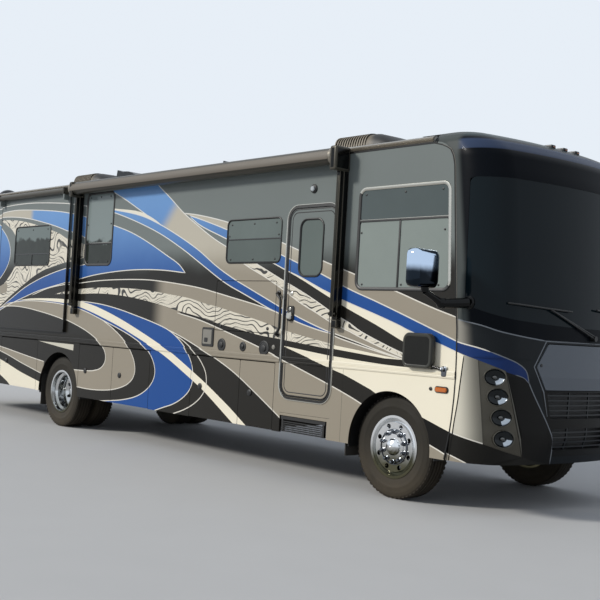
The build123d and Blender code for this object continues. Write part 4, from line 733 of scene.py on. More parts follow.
# Fields of colour in painting order: paint, then the curves round it (a minus sign runs one backwards)
FIELDS = [
    ("taupe_fade", ["vee_1", (-0.871, 1.534), "line_t2", (0.139, 1.328), "-marble2_top"]),
    ("taupe_fade", [(-5.4, 1.83), (-4.91, 1.83), (-4.393, 1.815), (-3.975, 1.76), (-3.6, 1.69), "line_h1",
        (-0.2, 0.3), (-1.4, 0.3), "-line_h2", (-3.766, 1.46), (-4.435, 1.60), (-5.3, 1.72)]),
    ("charcoal", [(-6.0, 1.88), (-4.91, 1.867), (-4.393, 1.821), (-3.975, 1.766), (-3.541, 1.695),
        (-3.58, 1.672), (-3.9, 1.66), (-5.0, 1.70), (-6.0, 1.72)]),
    ("taupe_fade", [(-4.91, 1.862), (-4.393, 1.818), (-3.975, 1.763), (-3.541, 1.692), (-3.45, 1.64),
        (-3.766, 1.465), (-4.435, 1.605), (-4.9, 1.68)]),
    ("beige_fade", ["arc_2", "tri_low", "arc_3"]),
    ("blue", [(-7.1, 3.09), (-6.699, 3.051), (-6.311, 3.007), (-5.821, 2.924), (-5.139, 2.789), (-4.682, 2.675),
        (-4.281, 2.537), (-3.896, 2.383), (-3.599, 2.258), "tri_low", (-10.1, 0.76), "-blue2_top",
        (-5.40, 2.36), (-5.36, 2.42), "-arc_3_near"]),
    ("charcoal", ["arc_3", (-5.40, 2.36), "blue2_top", (-10.3, 0.8), (-10.3, 2.3)]),
    ("marble", ["arc_4", "marble1_low", (-9.35, 1.25), (-9.0, 1.55), (-8.6, 1.80), "-marble1_left"]),
    ("taupe", [(-8.52, 1.94), (-8.30, 1.965), (-8.12, 2.02), (-8.06, 1.97), (-8.09, 1.86), (-8.40, 1.83),
        (-8.62, 1.86)]),
    ("blue", ["oval"]),
    ("blue_fade", ["diag_left", "stripe1_top_far", "-diag_right"]),
    ("taupe", ["stripe1_top_near", (-0.872, 1.55), "line_t1", "-band_f5", (-2.675, 2.431), (-2.94, 2.562),
        (-3.236, 2.709), (-3.42, 2.806)]),
    ("cream", ["sliver_top", (-4.084, 2.776), (-4.511, 2.90), (-5.164, 3.006), (-5.60, 3.062)]),
    ("blue", ["stripe1_top", "-stripe1_low"]),
    ("taupe", ["band_f1", (0.80, 1.525), "-band_f2"]),
    ("blue", ["band_f2", (0.80, 1.43), "-band_f3"]),
    ("cream", [(-1.593, 2.175), "band_f3_near", (1.1, 1.36), (1.1, 0.60), "-front_black_top", (0.0, 0.9),
        "-cream_low", (-1.577, 1.372), "black2_low", (0.633, 1.269), (0.45, 1.31), "-band_f3b"]),
    ("cream", [(-0.60, 1.843), "band_f3_near", (1.1, 1.36), (1.1, 0.60), "-front_black_top", (0.0, 0.9),
        (-0.25, 1.012), (-0.25, 1.3), (0.3, 1.3)]),
    ("charcoal", ["band_f3_far", "band_f3b", "-diag_right_near", (-3.44, 2.815)]),
    ("marble", ["diag_right_mid", "-band_f5"]),
    ("marble", ["marble2_top", "-marble2_low"]),
    ("cream", [(-0.85, 1.43), (-0.775, 1.414), (-0.428, 1.383), (-0.098, 1.349), (0.139, 1.328),
        (-0.096, 1.327), (-0.426, 1.352), (-0.772, 1.378), (-0.85, 1.385)]),
    ("charcoal", ["black2_top", "-black2_low"]),
    ("cream", [(-1.578, 1.371), (-0.877, 1.31), (-0.766, 1.302), (-0.42, 1.281), (-0.25, 1.20), (-0.25, 1.012),
        (-0.489, 1.088), (-0.648, 1.136), (-0.772, 1.164), (-0.867, 1.19)]),
    ("blue", [(-8.041, 1.698), (-7.653, 1.757), (-6.777, 1.757), (-6.301, 1.74), "cres_y1", (-4.5, 0.40),
        (-5.338, 0.42), "-ring_x1"]),
    ("taupe", [(-8.041, 1.698), (-7.515, 1.746), (-7.125, 1.752), (-6.775, 1.743), (-6.327, 1.718),
        (-5.962, 1.671), (-5.678, 1.620), "ring_x2", (-6.04, 0.60), (-6.04, 0.823), "-ring_x3", (-8.2, 1.66)]),
    ("cream", ["cream1_top", "-cream1_low"]),
    ("black", ["front_black_top", (0.95, 0.66), (0.95, 0.44), "-front_black_low"]),
    ("taupe", ["front_black_low", (0.95, 0.40), (0.30, 0.40)]),
    ("taupe", ["z1", "-z2"]),
    ("cream", ["z3_top", (-6.93, 0.40), "-z3_low"]),
    ("silver", [(-7.02, 1.172), (-6.015, 1.168), (-6.017, 1.085), (-6.45, 1.12)]),
]


# Stretches of the curves between two places along the body
for stretch, curve, rear, front in (
        ("arc_3_near", "arc_3", -7.3, -5.38), ("stripe1_top_far", "stripe1_top", -4.09, -3.2),
        ("stripe1_top_near", "stripe1_top", -3.42, 0), ("band_f3_near", "band_f3", -1.58, 0.81),
        ("band_f3_far", "band_f3", -3.45, -1.60), ("diag_right_near", "diag_right", -3.3, 0.46),
        ("diag_right_mid", "diag_right", -2.70, 0.24)):
    CURVES[stretch] = [p for p in CURVES[curve] if rear <= p[0] <= front]

# White pinstripes along these curves
PINSTRIPES = """oval arc_1 arc_2 arc_3 tri_low blue2_top vee_1 stripe1_top stripe1_low diag_left diag_right
    band_f1 band_f2 band_f3 band_f5 cres_y1 ring_x1 ring_x2 ring_x3 out_arc line_h1 line_h2 line_t1 line_t2
    front_black_low z1 z2""".split()


def trace(parts):
    """Closed outline from named curves and single points."""
    outline = []
    for part in parts:
        if isinstance(part, tuple):
            outline.append(part)
        elif part.startswith("-"):
            outline += CURVES[part[1:]][::-1]
        else:
            outline += CURVES[part]
    return outline


SIDE_LAYERS = [(colour, [trace(parts)]) for colour, parts in FIELDS]
SIDE_LAYERS += [("white", ribbon(CURVES[stripe], LINE)) for stripe in PINSTRIPES]
# Fine dark joints between fixed panels of one side
SEAMS = {"right": [[(-0.65, 0.462), (-0.65, 1.186)], [(-1.584, 0.667), (-0.813, 0.675)]], "left": []}
# Rear ends of the bay doors, from the front backwards
BAY_DOORS = {"right": (-2.297, -3.217, -4.977, -5.847, -8.217), "left": (-3.217, -4.977, -8.217)}


# ---------------------------------------------------------------- painted sides and rear face
def panel_outline(node, plane, tolerance=0.0004):
    """Edges of a CAD panel's outer face as segments in x and z."""
    mesh = nodes[node].data
    co = np.empty(len(mesh.vertices) * 3)
    mesh.vertices.foreach_get("co", co)
    co = co.reshape(-1, 3)
    flat = np.abs(co[:, 1] - plane) < tolerance
    count = {}
    for polygon in mesh.polygons:
        ids = list(polygon.vertices)
        if not all(flat[i] for i in ids):
            continue
        keys = [(round(co[i][0] - AXLE, 5), round(co[i][2], 5)) for i in ids]
        for a, b in zip(keys, keys[1:] + keys[:1]):
            if a != b:
                pair = (a, b) if a < b else (b, a)
                count[pair] = count.get(pair, 0) + 1
    return [pair for pair, times in count.items() if times % 2]


def belt_profile(z):
    """How far the ribbed belt moulding stands out at a height."""
    low, high = BELT
    share = (z - low) / (high - low)
    if share < 0 or share > 1:
        return 0.0
    edge = min(1.0, min(share, 1 - share) * 9)
    return 0.0115 * edge + 0.0045 * math.sin(share * math.pi * 6) ** 2 * edge


# Heights and places of the seam between walls and cap, below and above its straight middle stretch
SEAM_FOOT = ((0.42, 0.62, 0.8, 1.0, 1.2, 1.4, 1.65, 1.9), (0.69, 0.733, 0.760, 0.779, 0.787, 0.785, 0.773, 0.745))
SEAM_TOP = ((3.13, 3.22, 3.29, 3.335, 3.36), (0.65, 0.628, 0.585, 0.48, 0.37))


def seam_x(z):
    """Where the walls end at the front cap."""
    if 1.9 <= z < 3.13:
        return 0.745 - 0.095 * (z - 1.9) / 1.23
    return float(np.interp(z, *(SEAM_TOP if z > 3 else SEAM_FOOT)))


def side_panels(side):
    """CAD panel, body and outer plane for one side."""
    room = f"slide_room_{side}"
    doors = [f"bay_door_{side}_{k + 1}" for k in range(len(BAY_DOORS[side]))]
    doors += ["entry_door", "screen_flap"] if side == "right" else []
    return [(f"{side}_wall", "coach", HALF), (f"{side}_skirt", "coach", HALF), (room, room, HALF + ROOM_REACH),
            *((door, door, HALF) for door in doors)]


def paint_side(side, sign):
    """Thin painted skins in front of one side's panels, cut along the design's edges."""
    panels = side_panels(side)
    outlines = {node: panel_outline(node, sign * plane) for node, _, plane in panels}
    belt_ends = [(seam_x(z), z) for z in np.linspace(*BELT, 5)]
    belt = [(REAR_SEAM, BELT[0]), *belt_ends, (REAR_SEAM, BELT[1])]
    door_gap, door_belt = [], []
    if side == "right":
        door_gap = [rectangle(DOOR[0] - 0.045, DOOR[1] + 0.045, 0.8, 2.9)]
        door_x = [point[0] for pair in outlines["entry_door"] for point in pair]
        door_belt = [rectangle(min(door_x), max(door_x), 1.199, 1.263)]
    layers = SIDE_LAYERS + [("black", ribbon(line, 0.008)) for line in SEAMS[side]]
    loops = [loop for _, group in layers for loop in group] + [belt] + door_gap + door_belt
    ribs = [[(REAR_SEAM, z), (0.8, z)] for z in np.linspace(*BELT, 15)]
    verts, faces, centres = triangulate(loops, ribs + [pair for pairs in outlines.values() for pair in pairs])
    names = ["charcoal"] + sorted({name for name, _ in layers} - {"charcoal"})
    colour = colour_index(centres, layers, names, "charcoal")
    on_belt = inside(centres, [belt]) & ~inside(centres, door_gap)
    jobs = [(node, body, plane, inside_segments(centres, outlines[node])) for node, body, plane in panels]
    jobs.append((f"belt_moulding_{side}", "coach", HALF + 0.001, on_belt))
    for node, body, plane, hit in jobs:
        is_belt = node.startswith("belt")
        if node.endswith(("wall", "skirt")):
            hit &= ~on_belt
        if node == "entry_door":
            hit |= inside(centres, door_belt)
        if not hit.any():
            continue
        flat, local = own_faces(verts, faces[hit], sign)
        ribbed = is_belt or node == "entry_door"
        points = [(x + AXLE, sign * (plane + SKIN + (belt_profile(z) if ribbed else 0)), z) for x, z in flat]
        skin = add_mesh(node if is_belt else f"{node}_paint", points, local, body, names, colour[hit])


# Bands across the rear face: paint, then top and lower edge as height at the corner and on the middle line
REAR_BANDS = [("taupe", (2.62, 1.90), (2.40, 1.72)), ("blue", (2.40, 1.72), (1.62, 1.36)),
              ("cream", (1.30, 1.06), (1.08, 0.96))]
REAR_HALF = 1.135  # half the width of the flat of the rear wall


def rear_face():
    """Painted skin on the flat of the rear wall: bands that sweep down from both corners."""
    def sweep(corner, middle):
        across = np.linspace(-REAR_HALF, REAR_HALF, 49)
        return [(y, middle + (corner - middle) * (abs(y) / REAR_HALF) ** 1.7) for y in across]

    plate = rectangle(-REAR_HALF, REAR_HALF, 0.545, 3.29, 0.02)
    layers = [(colour, [sweep(*top) + sweep(*low)[::-1]]) for colour, top, low in REAR_BANDS]
    layers += [("white", ribbon(sweep(*edge), LINE)) for _, *edges in REAR_BANDS for edge in edges]
    verts, faces, centres = triangulate([loop for _, group in layers for loop in group] + [plate])
    names = ["charcoal"] + sorted({name for name, _ in layers})
    kept = inside(centres, [plate])
    flat, local = own_faces(verts, faces[kept], 1)
    points = [(REAR_FACE - SKIN + AXLE, y, z) for y, z in flat]
    colour = colour_index(centres, layers, names, "charcoal")[kept]
    add_mesh("rear_wall_paint", points, local, "coach", names, colour)


# ---------------------------------------------------------------- front cap
# height, front reach, half width, corner radius: the same sections as the part's source
CAP_SECTIONS = np.array([
    (0.460, 1.270, 1.255, 0.380), (0.700, 1.345, 1.275, 0.400), (1.250, 1.360, 1.275, 0.400),
    (1.710, 1.340, 1.275, 0.400), (3.050, 1.250, 1.275, 0.380), (3.255, 1.205, 1.275, 0.360),
    (3.400, 1.030, 1.250, 0.300), (3.460, 0.850, 1.150, 0.220)])
CAP_LOW, CAP_TOP = 0.46, 3.46
CAP_THICK = 0.030
BULGE = 4.2  # radius of the nose seen from above
CORNER, NOSE = 0.60, 0.95  # lengths of p round the corner and from there to the middle line
MIDDLE = CORNER + NOSE


def cap_plan(z):
    """Front reach, half width and corner radius at a height, eased across the sections, with the corner's
    centre and the angle where the corner meets the nose."""
    spread = min(0.045, CAP_TOP - z) if z > 3.18 else min(0.03, z - CAP_LOW)
    levels = z + np.linspace(-spread, spread, 7)
    heights, *columns = CAP_SECTIONS.T
    front, side, corner = (float(np.mean(np.interp(levels, heights, column))) for column in columns)
    corner_y = side - corner
    reach = math.sqrt((BULGE - corner) ** 2 - corner_y ** 2)
    return front, side, corner, front - BULGE + reach, corner_y, math.atan2(corner_y, reach)


def cap_point(p, z):
    """Point on the right half of the cap: p runs along the side, round the corner and over the nose."""
    front, side, corner, corner_x, corner_y, turn = cap_plan(z)
    if p <= 0:
        return (corner_x + p, -side, z)
    if p <= CORNER:
        angle = (math.pi / 2 - turn) * p / CORNER
        return (corner_x + corner * math.sin(angle), -(corner_y + corner * math.cos(angle)), z)
    y = (corner_y + corner * math.sin(turn)) * (1 - (p - CORNER) / NOSE)
    return (front - BULGE + math.sqrt(BULGE ** 2 - y * y), -y, z)


def cap_normal(p, z, step=0.004):
    """Outward direction of the cap at a point."""
    along = np.subtract(cap_point(p + step, z), cap_point(p - step, z))
    upward = np.subtract(cap_point(p, min(z + step, CAP_TOP)), cap_point(p, max(z - step, CAP_LOW)))
    normal = np.cross(along, upward)
    return normal / np.linalg.norm(normal)


def cap_param(z, test):
    """Where along p a rising measure of the cap's point reaches zero."""
    low, high = -1.0, MIDDLE
    for _ in range(40):
        middle = (low + high) / 2
        if test(cap_point(middle, z)) < 0:
            low = middle
        else:
            high = middle
    return (low + high) / 2


def at_x(x, z):
    return (cap_param(z, lambda q: q[0] - x), z)


def at_y(y, z):
    return (cap_param(z, lambda q: q[1] + abs(y)), z)


def at_lamp(w, z):
    """Place from the lamp panel's plane, square to the corner."""
    return (cap_param(z, lambda q: (q[0] - 1.13 + q[1] + 1.13) / math.sqrt(2) - w), z)


def cap_line(by_x, by_y=()):
    """Curve over the cap through places given by x, then by y."""
    return smooth_line([at_x(x, z) for x, z in by_x] + [at_y(y, z) for y, z in by_y])


def lamp_edge(steps):
    """The lamp panel's outline followed over the cap."""
    ends = zip(LAMP_PANEL, LAMP_PANEL[1:] + LAMP_PANEL[:1])
    return [at_lamp(*(p + (q - p) * step / steps for p, q in zip(a, b))) for a, b in ends for step in range(steps)]


def half_opening(points):
    """Opening across the nose from its right half (y, z), ending on the middle line."""
    outline = rounded([(-y, z) for y, z in points] + [(y, z) for y, z in reversed(points)], 0.025)
    kept = [(y, z) for y, z in outline if y <= 0]
    heights = [z for _, z in kept]
    low, top = min(heights), max(heights)
    kept.sort(key=lambda q: math.atan2(q[1] - (top + low) / 2, q[0]) % (2 * math.pi))
    return [(MIDDLE, top), *[at_y(y, z) for y, z in kept], (MIDDLE, low)]


def windshield_opening():
    """The glass's edge on the cap, wrapped round the corner."""
    rear, foot, slope = 0.845, 1.865, 195 / 615
    places = [(x, foot - (x - rear) * slope) for x in np.linspace(rear, 1.36, 26)]
    low = [at_x(x, z) for x, z in places if x < cap_plan(z)[0] - 0.002]
    low.append((MIDDLE, foot - (cap_plan(1.70)[0] - rear) * slope))
    sides = [at_x(rear - 0.013 * (z - foot) / 1.145, z) for z in np.linspace(1.93, 2.95, 12)]
    top = [(p, 3.01) for p in np.linspace(at_x(0.832, 3.01)[0] + 0.06, MIDDLE, 16)]
    corner = at_x(rear, 1.885)
    return [*[q for q in low[::-1] if q[0] > corner[0] + 0.03], corner, *sides, at_x(0.832, 2.995), *top]


# Lines of the cap's design
LAMP_PANEL = [(-0.170, 1.378), (0.075, 1.297), (0.280, 0.532), (-0.092, 0.642)]
BLUE_TOP = cap_line([(0.74, 1.545), (0.794, 1.526)], [(1.235, 1.48), (1.108, 1.418), (0.958, 1.355), (0.885, 1.30),
                                                      (0.850, 1.20)])
BLUE_LOW = cap_line([(0.74, 1.452), (0.80, 1.434)], [(1.22, 1.36), (1.088, 1.288), (0.956, 1.254), (0.90, 1.235),
                                                     (0.850, 1.195)])
LEG = cap_line([], [(0.850, 1.20), (0.80, 1.12), (0.70, 0.98), (0.582, 0.818), (0.50, 0.68), (0.44, 0.46)])
UPPER = cap_line([(0.70, 1.757), (0.769, 1.731)], [(1.235, 1.685), (1.136, 1.640), (0.92, 1.604), (0.648, 1.577)])
GROOVE = cap_line([(0.868, 1.41), (0.852, 1.25), (0.825, 1.0), (0.785, 0.72), (0.745, 0.502), (0.738, 0.46)])
BLACK_TOP = cap_line([(0.70, 0.735), (0.78, 0.712)], [(1.26, 0.68), (1.12, 0.625), (0.95, 0.575), (0.818, 0.537),
                                                      (0.70, 0.50)])
GREY_FOOT = cap_line([(0.62, 0.545), (0.72, 0.52), (0.85, 0.485), (0.93, 0.455)])


def cap_layers():
    """Fields of the cap's design in painting order, then its lines."""
    leg_foot = (LEG[-1][0], CAP_LOW)
    below, rear = CAP_LOW - 0.05, -2
    layers = [
        ("navy", [(rear, 1.4), (MIDDLE, 1.4), (MIDDLE, 3.5), (rear, 3.5)]),
        ("nose", [*UPPER, (MIDDLE, 1.576), (MIDDLE, below), (rear, below), (rear, 1.757)]),
        ("cream", [*BLUE_LOW[:8], *GROOVE, (rear, CAP_LOW), (rear, 1.45)]),
        ("silver", [*BLUE_LOW, (LEG[0][0], 1.2), *LEG, leg_foot, (GROOVE[-1][0], CAP_LOW), *GROOVE[::-1]]),
        ("black", [at_lamp(0.075, 1.297), *BLUE_LOW[18:], *LEG, leg_foot, (0.3, CAP_LOW - 0.02),
                   at_lamp(0.280, 0.532)]),
        ("smoke", [*BLACK_TOP, *[q for q in LEG if q[1] < 0.52][::-1], leg_foot, (rear, below), (rear, 0.735)]),
        ("taupe", [*GREY_FOOT, (-0.6, CAP_LOW - 0.02)]),
        ("deep_blue", [*BLUE_TOP, *BLUE_LOW[::-1]]),
        ("black", [at_y(0.70, 1.13), (MIDDLE, 1.13), (MIDDLE, 0.53), at_y(0.52, 0.53), at_y(0.60, 0.84)]),
    ]
    # Painted highlight along the hood's edge
    hood_edge = [(MIDDLE, 1.576), at_y(0.30, 1.576), at_y(0.648, 1.577), at_y(0.795, 1.342), at_y(0.665, 1.118),
                 at_y(0.60, 0.90)]
    # Grey lines are white pinstripes in painted shade; the blue stripe's upper line turns from white to grey round
    # the corner
    lines = (("edge_line", UPPER, 0.011), ("edge_line", LEG, 0.011), ("white", BLUE_TOP[:13], 0.011),
             ("edge_line", BLUE_TOP[12:], 0.010), ("edge_line", BLUE_LOW[18:], 0.007),
             ("white", BLACK_TOP[:-6], 0.011), ("white", GREY_FOOT, 0.011), ("edge_line", hood_edge, 0.012),
             ("black", GROOVE, 0.014))
    return [(name, [loop]) for name, loop in layers] + [(name, ribbon(line, width)) for name, line, width in lines]


def front_cap():
    """The painted front cap: one smooth moulded shell with its openings, replacing the CAD shell."""
    layers = cap_layers()
    openings = [
        windshield_opening(),
        half_opening([(0.627, 1.556), (0.771, 1.342), (0.645, 1.131)]),
        half_opening([(0.625, 1.118), (0.560, 0.880)]),
        half_opening([(0.540, 0.790), (0.470, 0.590)]),
        lamp_edge(12),
    ]
    levels = np.unique(np.concatenate([np.linspace(CAP_LOW, 3.16, 46), np.linspace(3.16, CAP_TOP, 22)]))
    shape = [(at_x(seam_x(z) + 0.0003, z)[0], z) for z in levels] + [(MIDDLE, z) for z in levels[::-1]]
    columns = [*np.arange(-0.55, 0, 0.11), *np.linspace(0, CORNER, 18), *np.linspace(CORNER, MIDDLE, 14)[1:]]
    loops = [loop for _, group in layers for loop in group] + openings + [shape]
    verts, faces, centres = triangulate(loops, [], [(p, z) for z in levels for p in columns])
    kept = inside(centres, [shape]) & ~inside(centres, openings) & (np.abs(twice_area(verts[faces])) > 1e-9)
    names = sorted({name for name, _ in layers} | {"black_plastic"})
    colour = colour_index(centres[kept], layers, names, "navy")
    places, half = own_faces(verts, faces[kept], -1)
    points = np.array([cap_point(p, z) for p, z in places]) + (AXLE, 0, 0)
    normals = np.array([cap_normal(p, z) for p, z in places])
    middle = np.abs(places[:, 0] - MIDDLE) < 1e-6
    points[middle, 1] = 0
    normals[middle, 1] = 0

    # The left half mirrors the right one, and a second skin inside gives the shell its thickness
    count = len(points)
    outer, outward = (np.vstack([rows, rows * (1, -1, 1)]) for rows in (points, normals))
    faces = np.vstack([half, half[:, ::-1] + count])
    total = len(outer)
    shell = np.vstack([outer, outer - outward * CAP_THICK])
    edges = {}
    for face in faces.tolist():
        for a, b in zip(face, face[1:] + face[:1]):
            edges.setdefault((min(a, b), max(a, b)), []).append((a, b))
    rim = [(b, a, a + total, b + total) for (a, b), *others in edges.values()
           if not others and not (middle[a % count] and middle[b % count])]
    corner_normals = [*outward[faces].reshape(-1, 3), *-outward[faces[:, ::-1]].reshape(-1, 3)]
    for a, b, _, d in rim:
        across = np.cross(shell[b] - shell[a], shell[d] - shell[a])
        corner_normals += [across / max(np.linalg.norm(across), 1e-9)] * 4
    indices = [*colour, *colour, *[names.index("black_plastic")] * (len(faces) + len(rim))]
    all_faces = [*faces, *(faces[:, ::-1] + total), *rim]
    cap = add_mesh("front_cap_shell", shell, all_faces, "coach", names, indices, True, corner_normals)
    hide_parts("front_cap")
    lid = [Vector(cap_point(p, CAP_TOP - 0.001)) + SHIFT for p in np.linspace(-0.40, MIDDLE, 30)]
    lid += [(x, -y, z) for x, y, z in reversed(lid[:-1])]
    add_mesh("front_cap_top", lid, [range(len(lid))], "coach", ["navy"])


# ---------------------------------------------------------------- builders on a side wall
def side_point(x, reach, z, sign=-1):
    """Point a distance outside a side wall."""
    return (x, sign * (HALF + reach), z)


def wall_row(bm, loop, reach, sign):
    return [bm.verts.new(Vector(side_point(x, reach, z, sign)) + SHIFT) for x, z in loop]


def trim_ring(bm, loops, reaches, sign, material=0):
    """Raised border between outlines of equal count, each at its own reach outside the wall."""
    bridge(bm, [wall_row(bm, loop, reach, sign) for loop, reach in zip(loops, reaches)], material)


def wall_face(bm, loop, reach, sign, material=0):
    """Flat face along a side wall."""
    face = wall_row(bm, loop, reach, sign)
    bm.faces.new(face if sign < 0 else face[::-1]).material_index = material


def pad(bm, loop, reach, thick, sign, material=0, bevel=0.004):
    """Flat plate with an eased edge on a side wall."""
    (x0, z0), (x1, z1) = np.min(loop, 0), np.max(loop, 0)
    cx, cz = (x0 + x1) / 2, (z0 + z1) / 2
    sx, sz = 1 - 2 * bevel / (x1 - x0), 1 - 2 * bevel / (z1 - z0)
    inner = [(cx + (x - cx) * sx, cz + (z - cz) * sz) for x, z in loop]
    trim_ring(bm, [loop, loop, inner], [reach, reach + thick - bevel, reach + thick], sign, material)
    wall_face(bm, inner, reach + thick, sign, material)


def disc(bm, x, z, profile, sign, material=0, segments=20):
    """Turned fitting on a side wall from (reach, radius) points."""
    add_lathe(bm, profile, (x, sign * HALF, z), "Y", segments, material, sign)


# ---------------------------------------------------------------- wheels
# Half section of a tyre: distance from its middle plane, radius; then the tread's grooves
TYRE_SIDE = [(0.1035, 0.288), (0.110, 0.300), (0.1165, 0.306), (0.1200, 0.322), (0.1243, 0.350), (0.1262, 0.372),
             (0.1278, 0.376), (0.1281, 0.392), (0.1268, 0.396), (0.1256, 0.415), (0.1215, 0.440),
             (0.1200, 0.4415), (0.1165, 0.455), (0.1120, 0.466), (0.1080, 0.474), (0.1010, 0.4828),
             (0.0900, 0.4862)]
TYRE_TREAD = [(0.0700, 0.4878), (0.0690, 0.4780), (0.0590, 0.4780), (0.0580, 0.4885), (0.0270, 0.4896),
              (0.0262, 0.4790), (0.0160, 0.4790), (0.0150, 0.4899)]
TREAD_EDGE = 0.468  # radius outside which a tyre has the darker rubber of its tread
NUT_COVER = [(-0.002, 0.0235), (0.006, 0.0235), (0.008, 0.0190), (0.034, 0.0175), (0.044, 0.0125), (0.0475, 0.0)]
NUTS, NUT_CIRCLE = 10, 0.143
BEAD = [(0.001, 0.172), (0.007, 0.170), (0.008, 0.164), (0.001, 0.160)]
LUGS, LUG_SIZE = 60, (0.026, 0.030, 0.010)
# Pieces' name, body, CAD tyre, x, distances of the tyres' middle planes and of the hub's face from the middle line
AXLES = (("front", "front_wheel", "front_tyre", 0, (1.072,), 1.181),
         ("rear", "rear_wheels", "rear_tyres", REAR_AXLE, (1.090, 0.755), 0.924))


def tyre_mesh(name, node, body, centres):
    bm = bmesh.new()
    half = TYRE_SIDE + TYRE_TREAD
    for centre in centres:
        start = len(bm.faces)
        add_lathe(bm, half + [(-y, r) for y, r in reversed(half)], centre, "Y", 96)
        bm.faces.ensure_lookup_table()
        for face in bm.faces[start:]:
            middle = face.calc_center_median() - SHIFT
            face.material_index = 0 if math.hypot(middle.x - centre[0], middle.z - WHEEL_Z) > TREAD_EDGE else 1
    fitting(name, bm, body, ("tyre", "tyre_side"), 30, node)


def shoulder_lugs(name, body, centres):
    """Short bars round both shoulders of each tyre."""
    bm = bmesh.new()
    for centre in centres:
        for index in range(LUGS):
            turn = Matrix.Rotation(2 * math.pi * index / LUGS, 4, "Y")
            for edge in (-1, 1):
                made = bmesh.ops.create_cube(bm, size=1.0)["verts"]
                bmesh.ops.scale(bm, vec=LUG_SIZE, verts=made)
                move = Matrix.Translation(Vector(centre) + SHIFT + Vector((0, edge * 0.0945, 0)))
                lift = Matrix.Translation((0, 0, 0.4840))
                tilt = Matrix.Rotation(edge * math.radians(-12), 4, "X")
                bmesh.ops.transform(bm, matrix=move @ turn @ lift @ tilt, verts=made)
    fitting(name, bm, body, ("tyre",))


def nut_covers(name, body, hub, sign):
    """Domed nut covers round the hub and a beaded ring behind them."""
    bm = bmesh.new()
    for index in range(NUTS):
        angle = 2 * math.pi * (index + 0.5) / NUTS
        place = (hub[0] + NUT_CIRCLE * math.cos(angle), hub[1], hub[2] + NUT_CIRCLE * math.sin(angle))
        add_lathe(bm, NUT_COVER, place, "Y", 14, 0, sign)
    add_lathe(bm, BEAD, hub, "Y", 64, 0, sign)
    fitting(name, bm, body, ("chrome",), 30)


def wheels():
    for side, sign in SIDES:
        for name, body, tyre, x, tracks, hub in AXLES:
            centres = [(x, sign * track, WHEEL_Z) for track in tracks]
            tyre_mesh(f"{name}_tyre_mesh_{side}", f"{tyre}_{side}", f"{body}_{side}", centres)
            shoulder_lugs(f"{name}_tread_bars_{side}", f"{body}_{side}", centres)
            nut_covers(f"{name}_nut_covers_{side}", f"{body}_{side}", (x, sign * hub, WHEEL_Z), sign)


def arches(side, sign):
    """Black liners inside the wheel arches."""
    bm = bmesh.new()
    edge, thick = 1.2445, 0.012
    angles = np.radians(np.linspace(-6, 186, 49))
    for x, radius, deep in ((0, 0.552, 1.06), (REAR_AXLE, 0.572, 0.60)):
        section = ((edge, radius), (deep, radius), (deep, radius + thick), (edge, radius + thick))
        rows = [[bm.verts.new((x + AXLE + size * math.cos(a), sign * reach, WHEEL_Z + size * math.sin(a)))
                 for a in angles] for reach, size in section]
        bridge(bm, rows + rows[:1], closed=False)
    fitting(f"arch_liners_{side}", bm, "coach", ("black_plastic",))


# ---------------------------------------------------------------- windows and entry door
# name, body, x rear, x front, z low, z high, corner, slant, divider height, upright divider, reach, kind
WINDOW_TABLE = {
    "right": [
        ("cab_window", "coach", -0.530, 0.655, 2.000, 2.970, 0.070, 0.055, 2.660, 0.015, 0.0, "bright"),
        ("kitchen_window", "coach", -2.660, -1.720, 2.270, 2.750, 0.060, 0.0, 2.530, None, 0.0, "dark"),
        ("tall_window", "coach", -5.850, -5.180, 2.280, 3.240, 0.080, 0.0, 2.560, None, 0.0, "tall"),
        ("bedroom_window", "slide_room_right", -7.880, -6.800, 2.280, 2.850, 0.060, 0.0, 2.440, -7.34, ROOM_REACH,
         "low"),
    ],
    "left": [
        ("cab_window", "coach", -0.530, 0.655, 2.000, 2.970, 0.070, 0.055, 2.660, 0.015, 0.0, "bright"),
        ("bath_window", "coach", -5.850, -5.180, 2.480, 2.950, 0.060, 0.0, 2.640, None, 0.0, "dark"),
        ("rear_window", "coach", -7.880, -6.800, 2.280, 2.850, 0.060, 0.0, 2.440, -7.34, 0.0, "dark"),
        ("lounge_window", "slide_room_left", -4.600, -3.500, 2.150, 2.850, 0.060, 0.0, 2.400, -4.05, ROOM_REACH,
         "dark"),
        ("dinette_window", "slide_room_left", -3.000, -2.000, 2.150, 2.850, 0.060, 0.0, 2.400, -2.5, ROOM_REACH,
         "dark"),
    ],
}
THIN_RIMS = ("kitchen_window", "bedroom_window")
# Lower and upper pane of each kind of window; the differing tones of the two panes are painted reflections
PANES = {"bright": ("pale_pane", "upper_pane"), "dark": ("dark_pane", "mid_pane"),
         "tall": ("tall_pane", "tall_pane"), "low": ("low_pane", "low_pane")}
TRIM = ("black_plastic", "bright_trim")


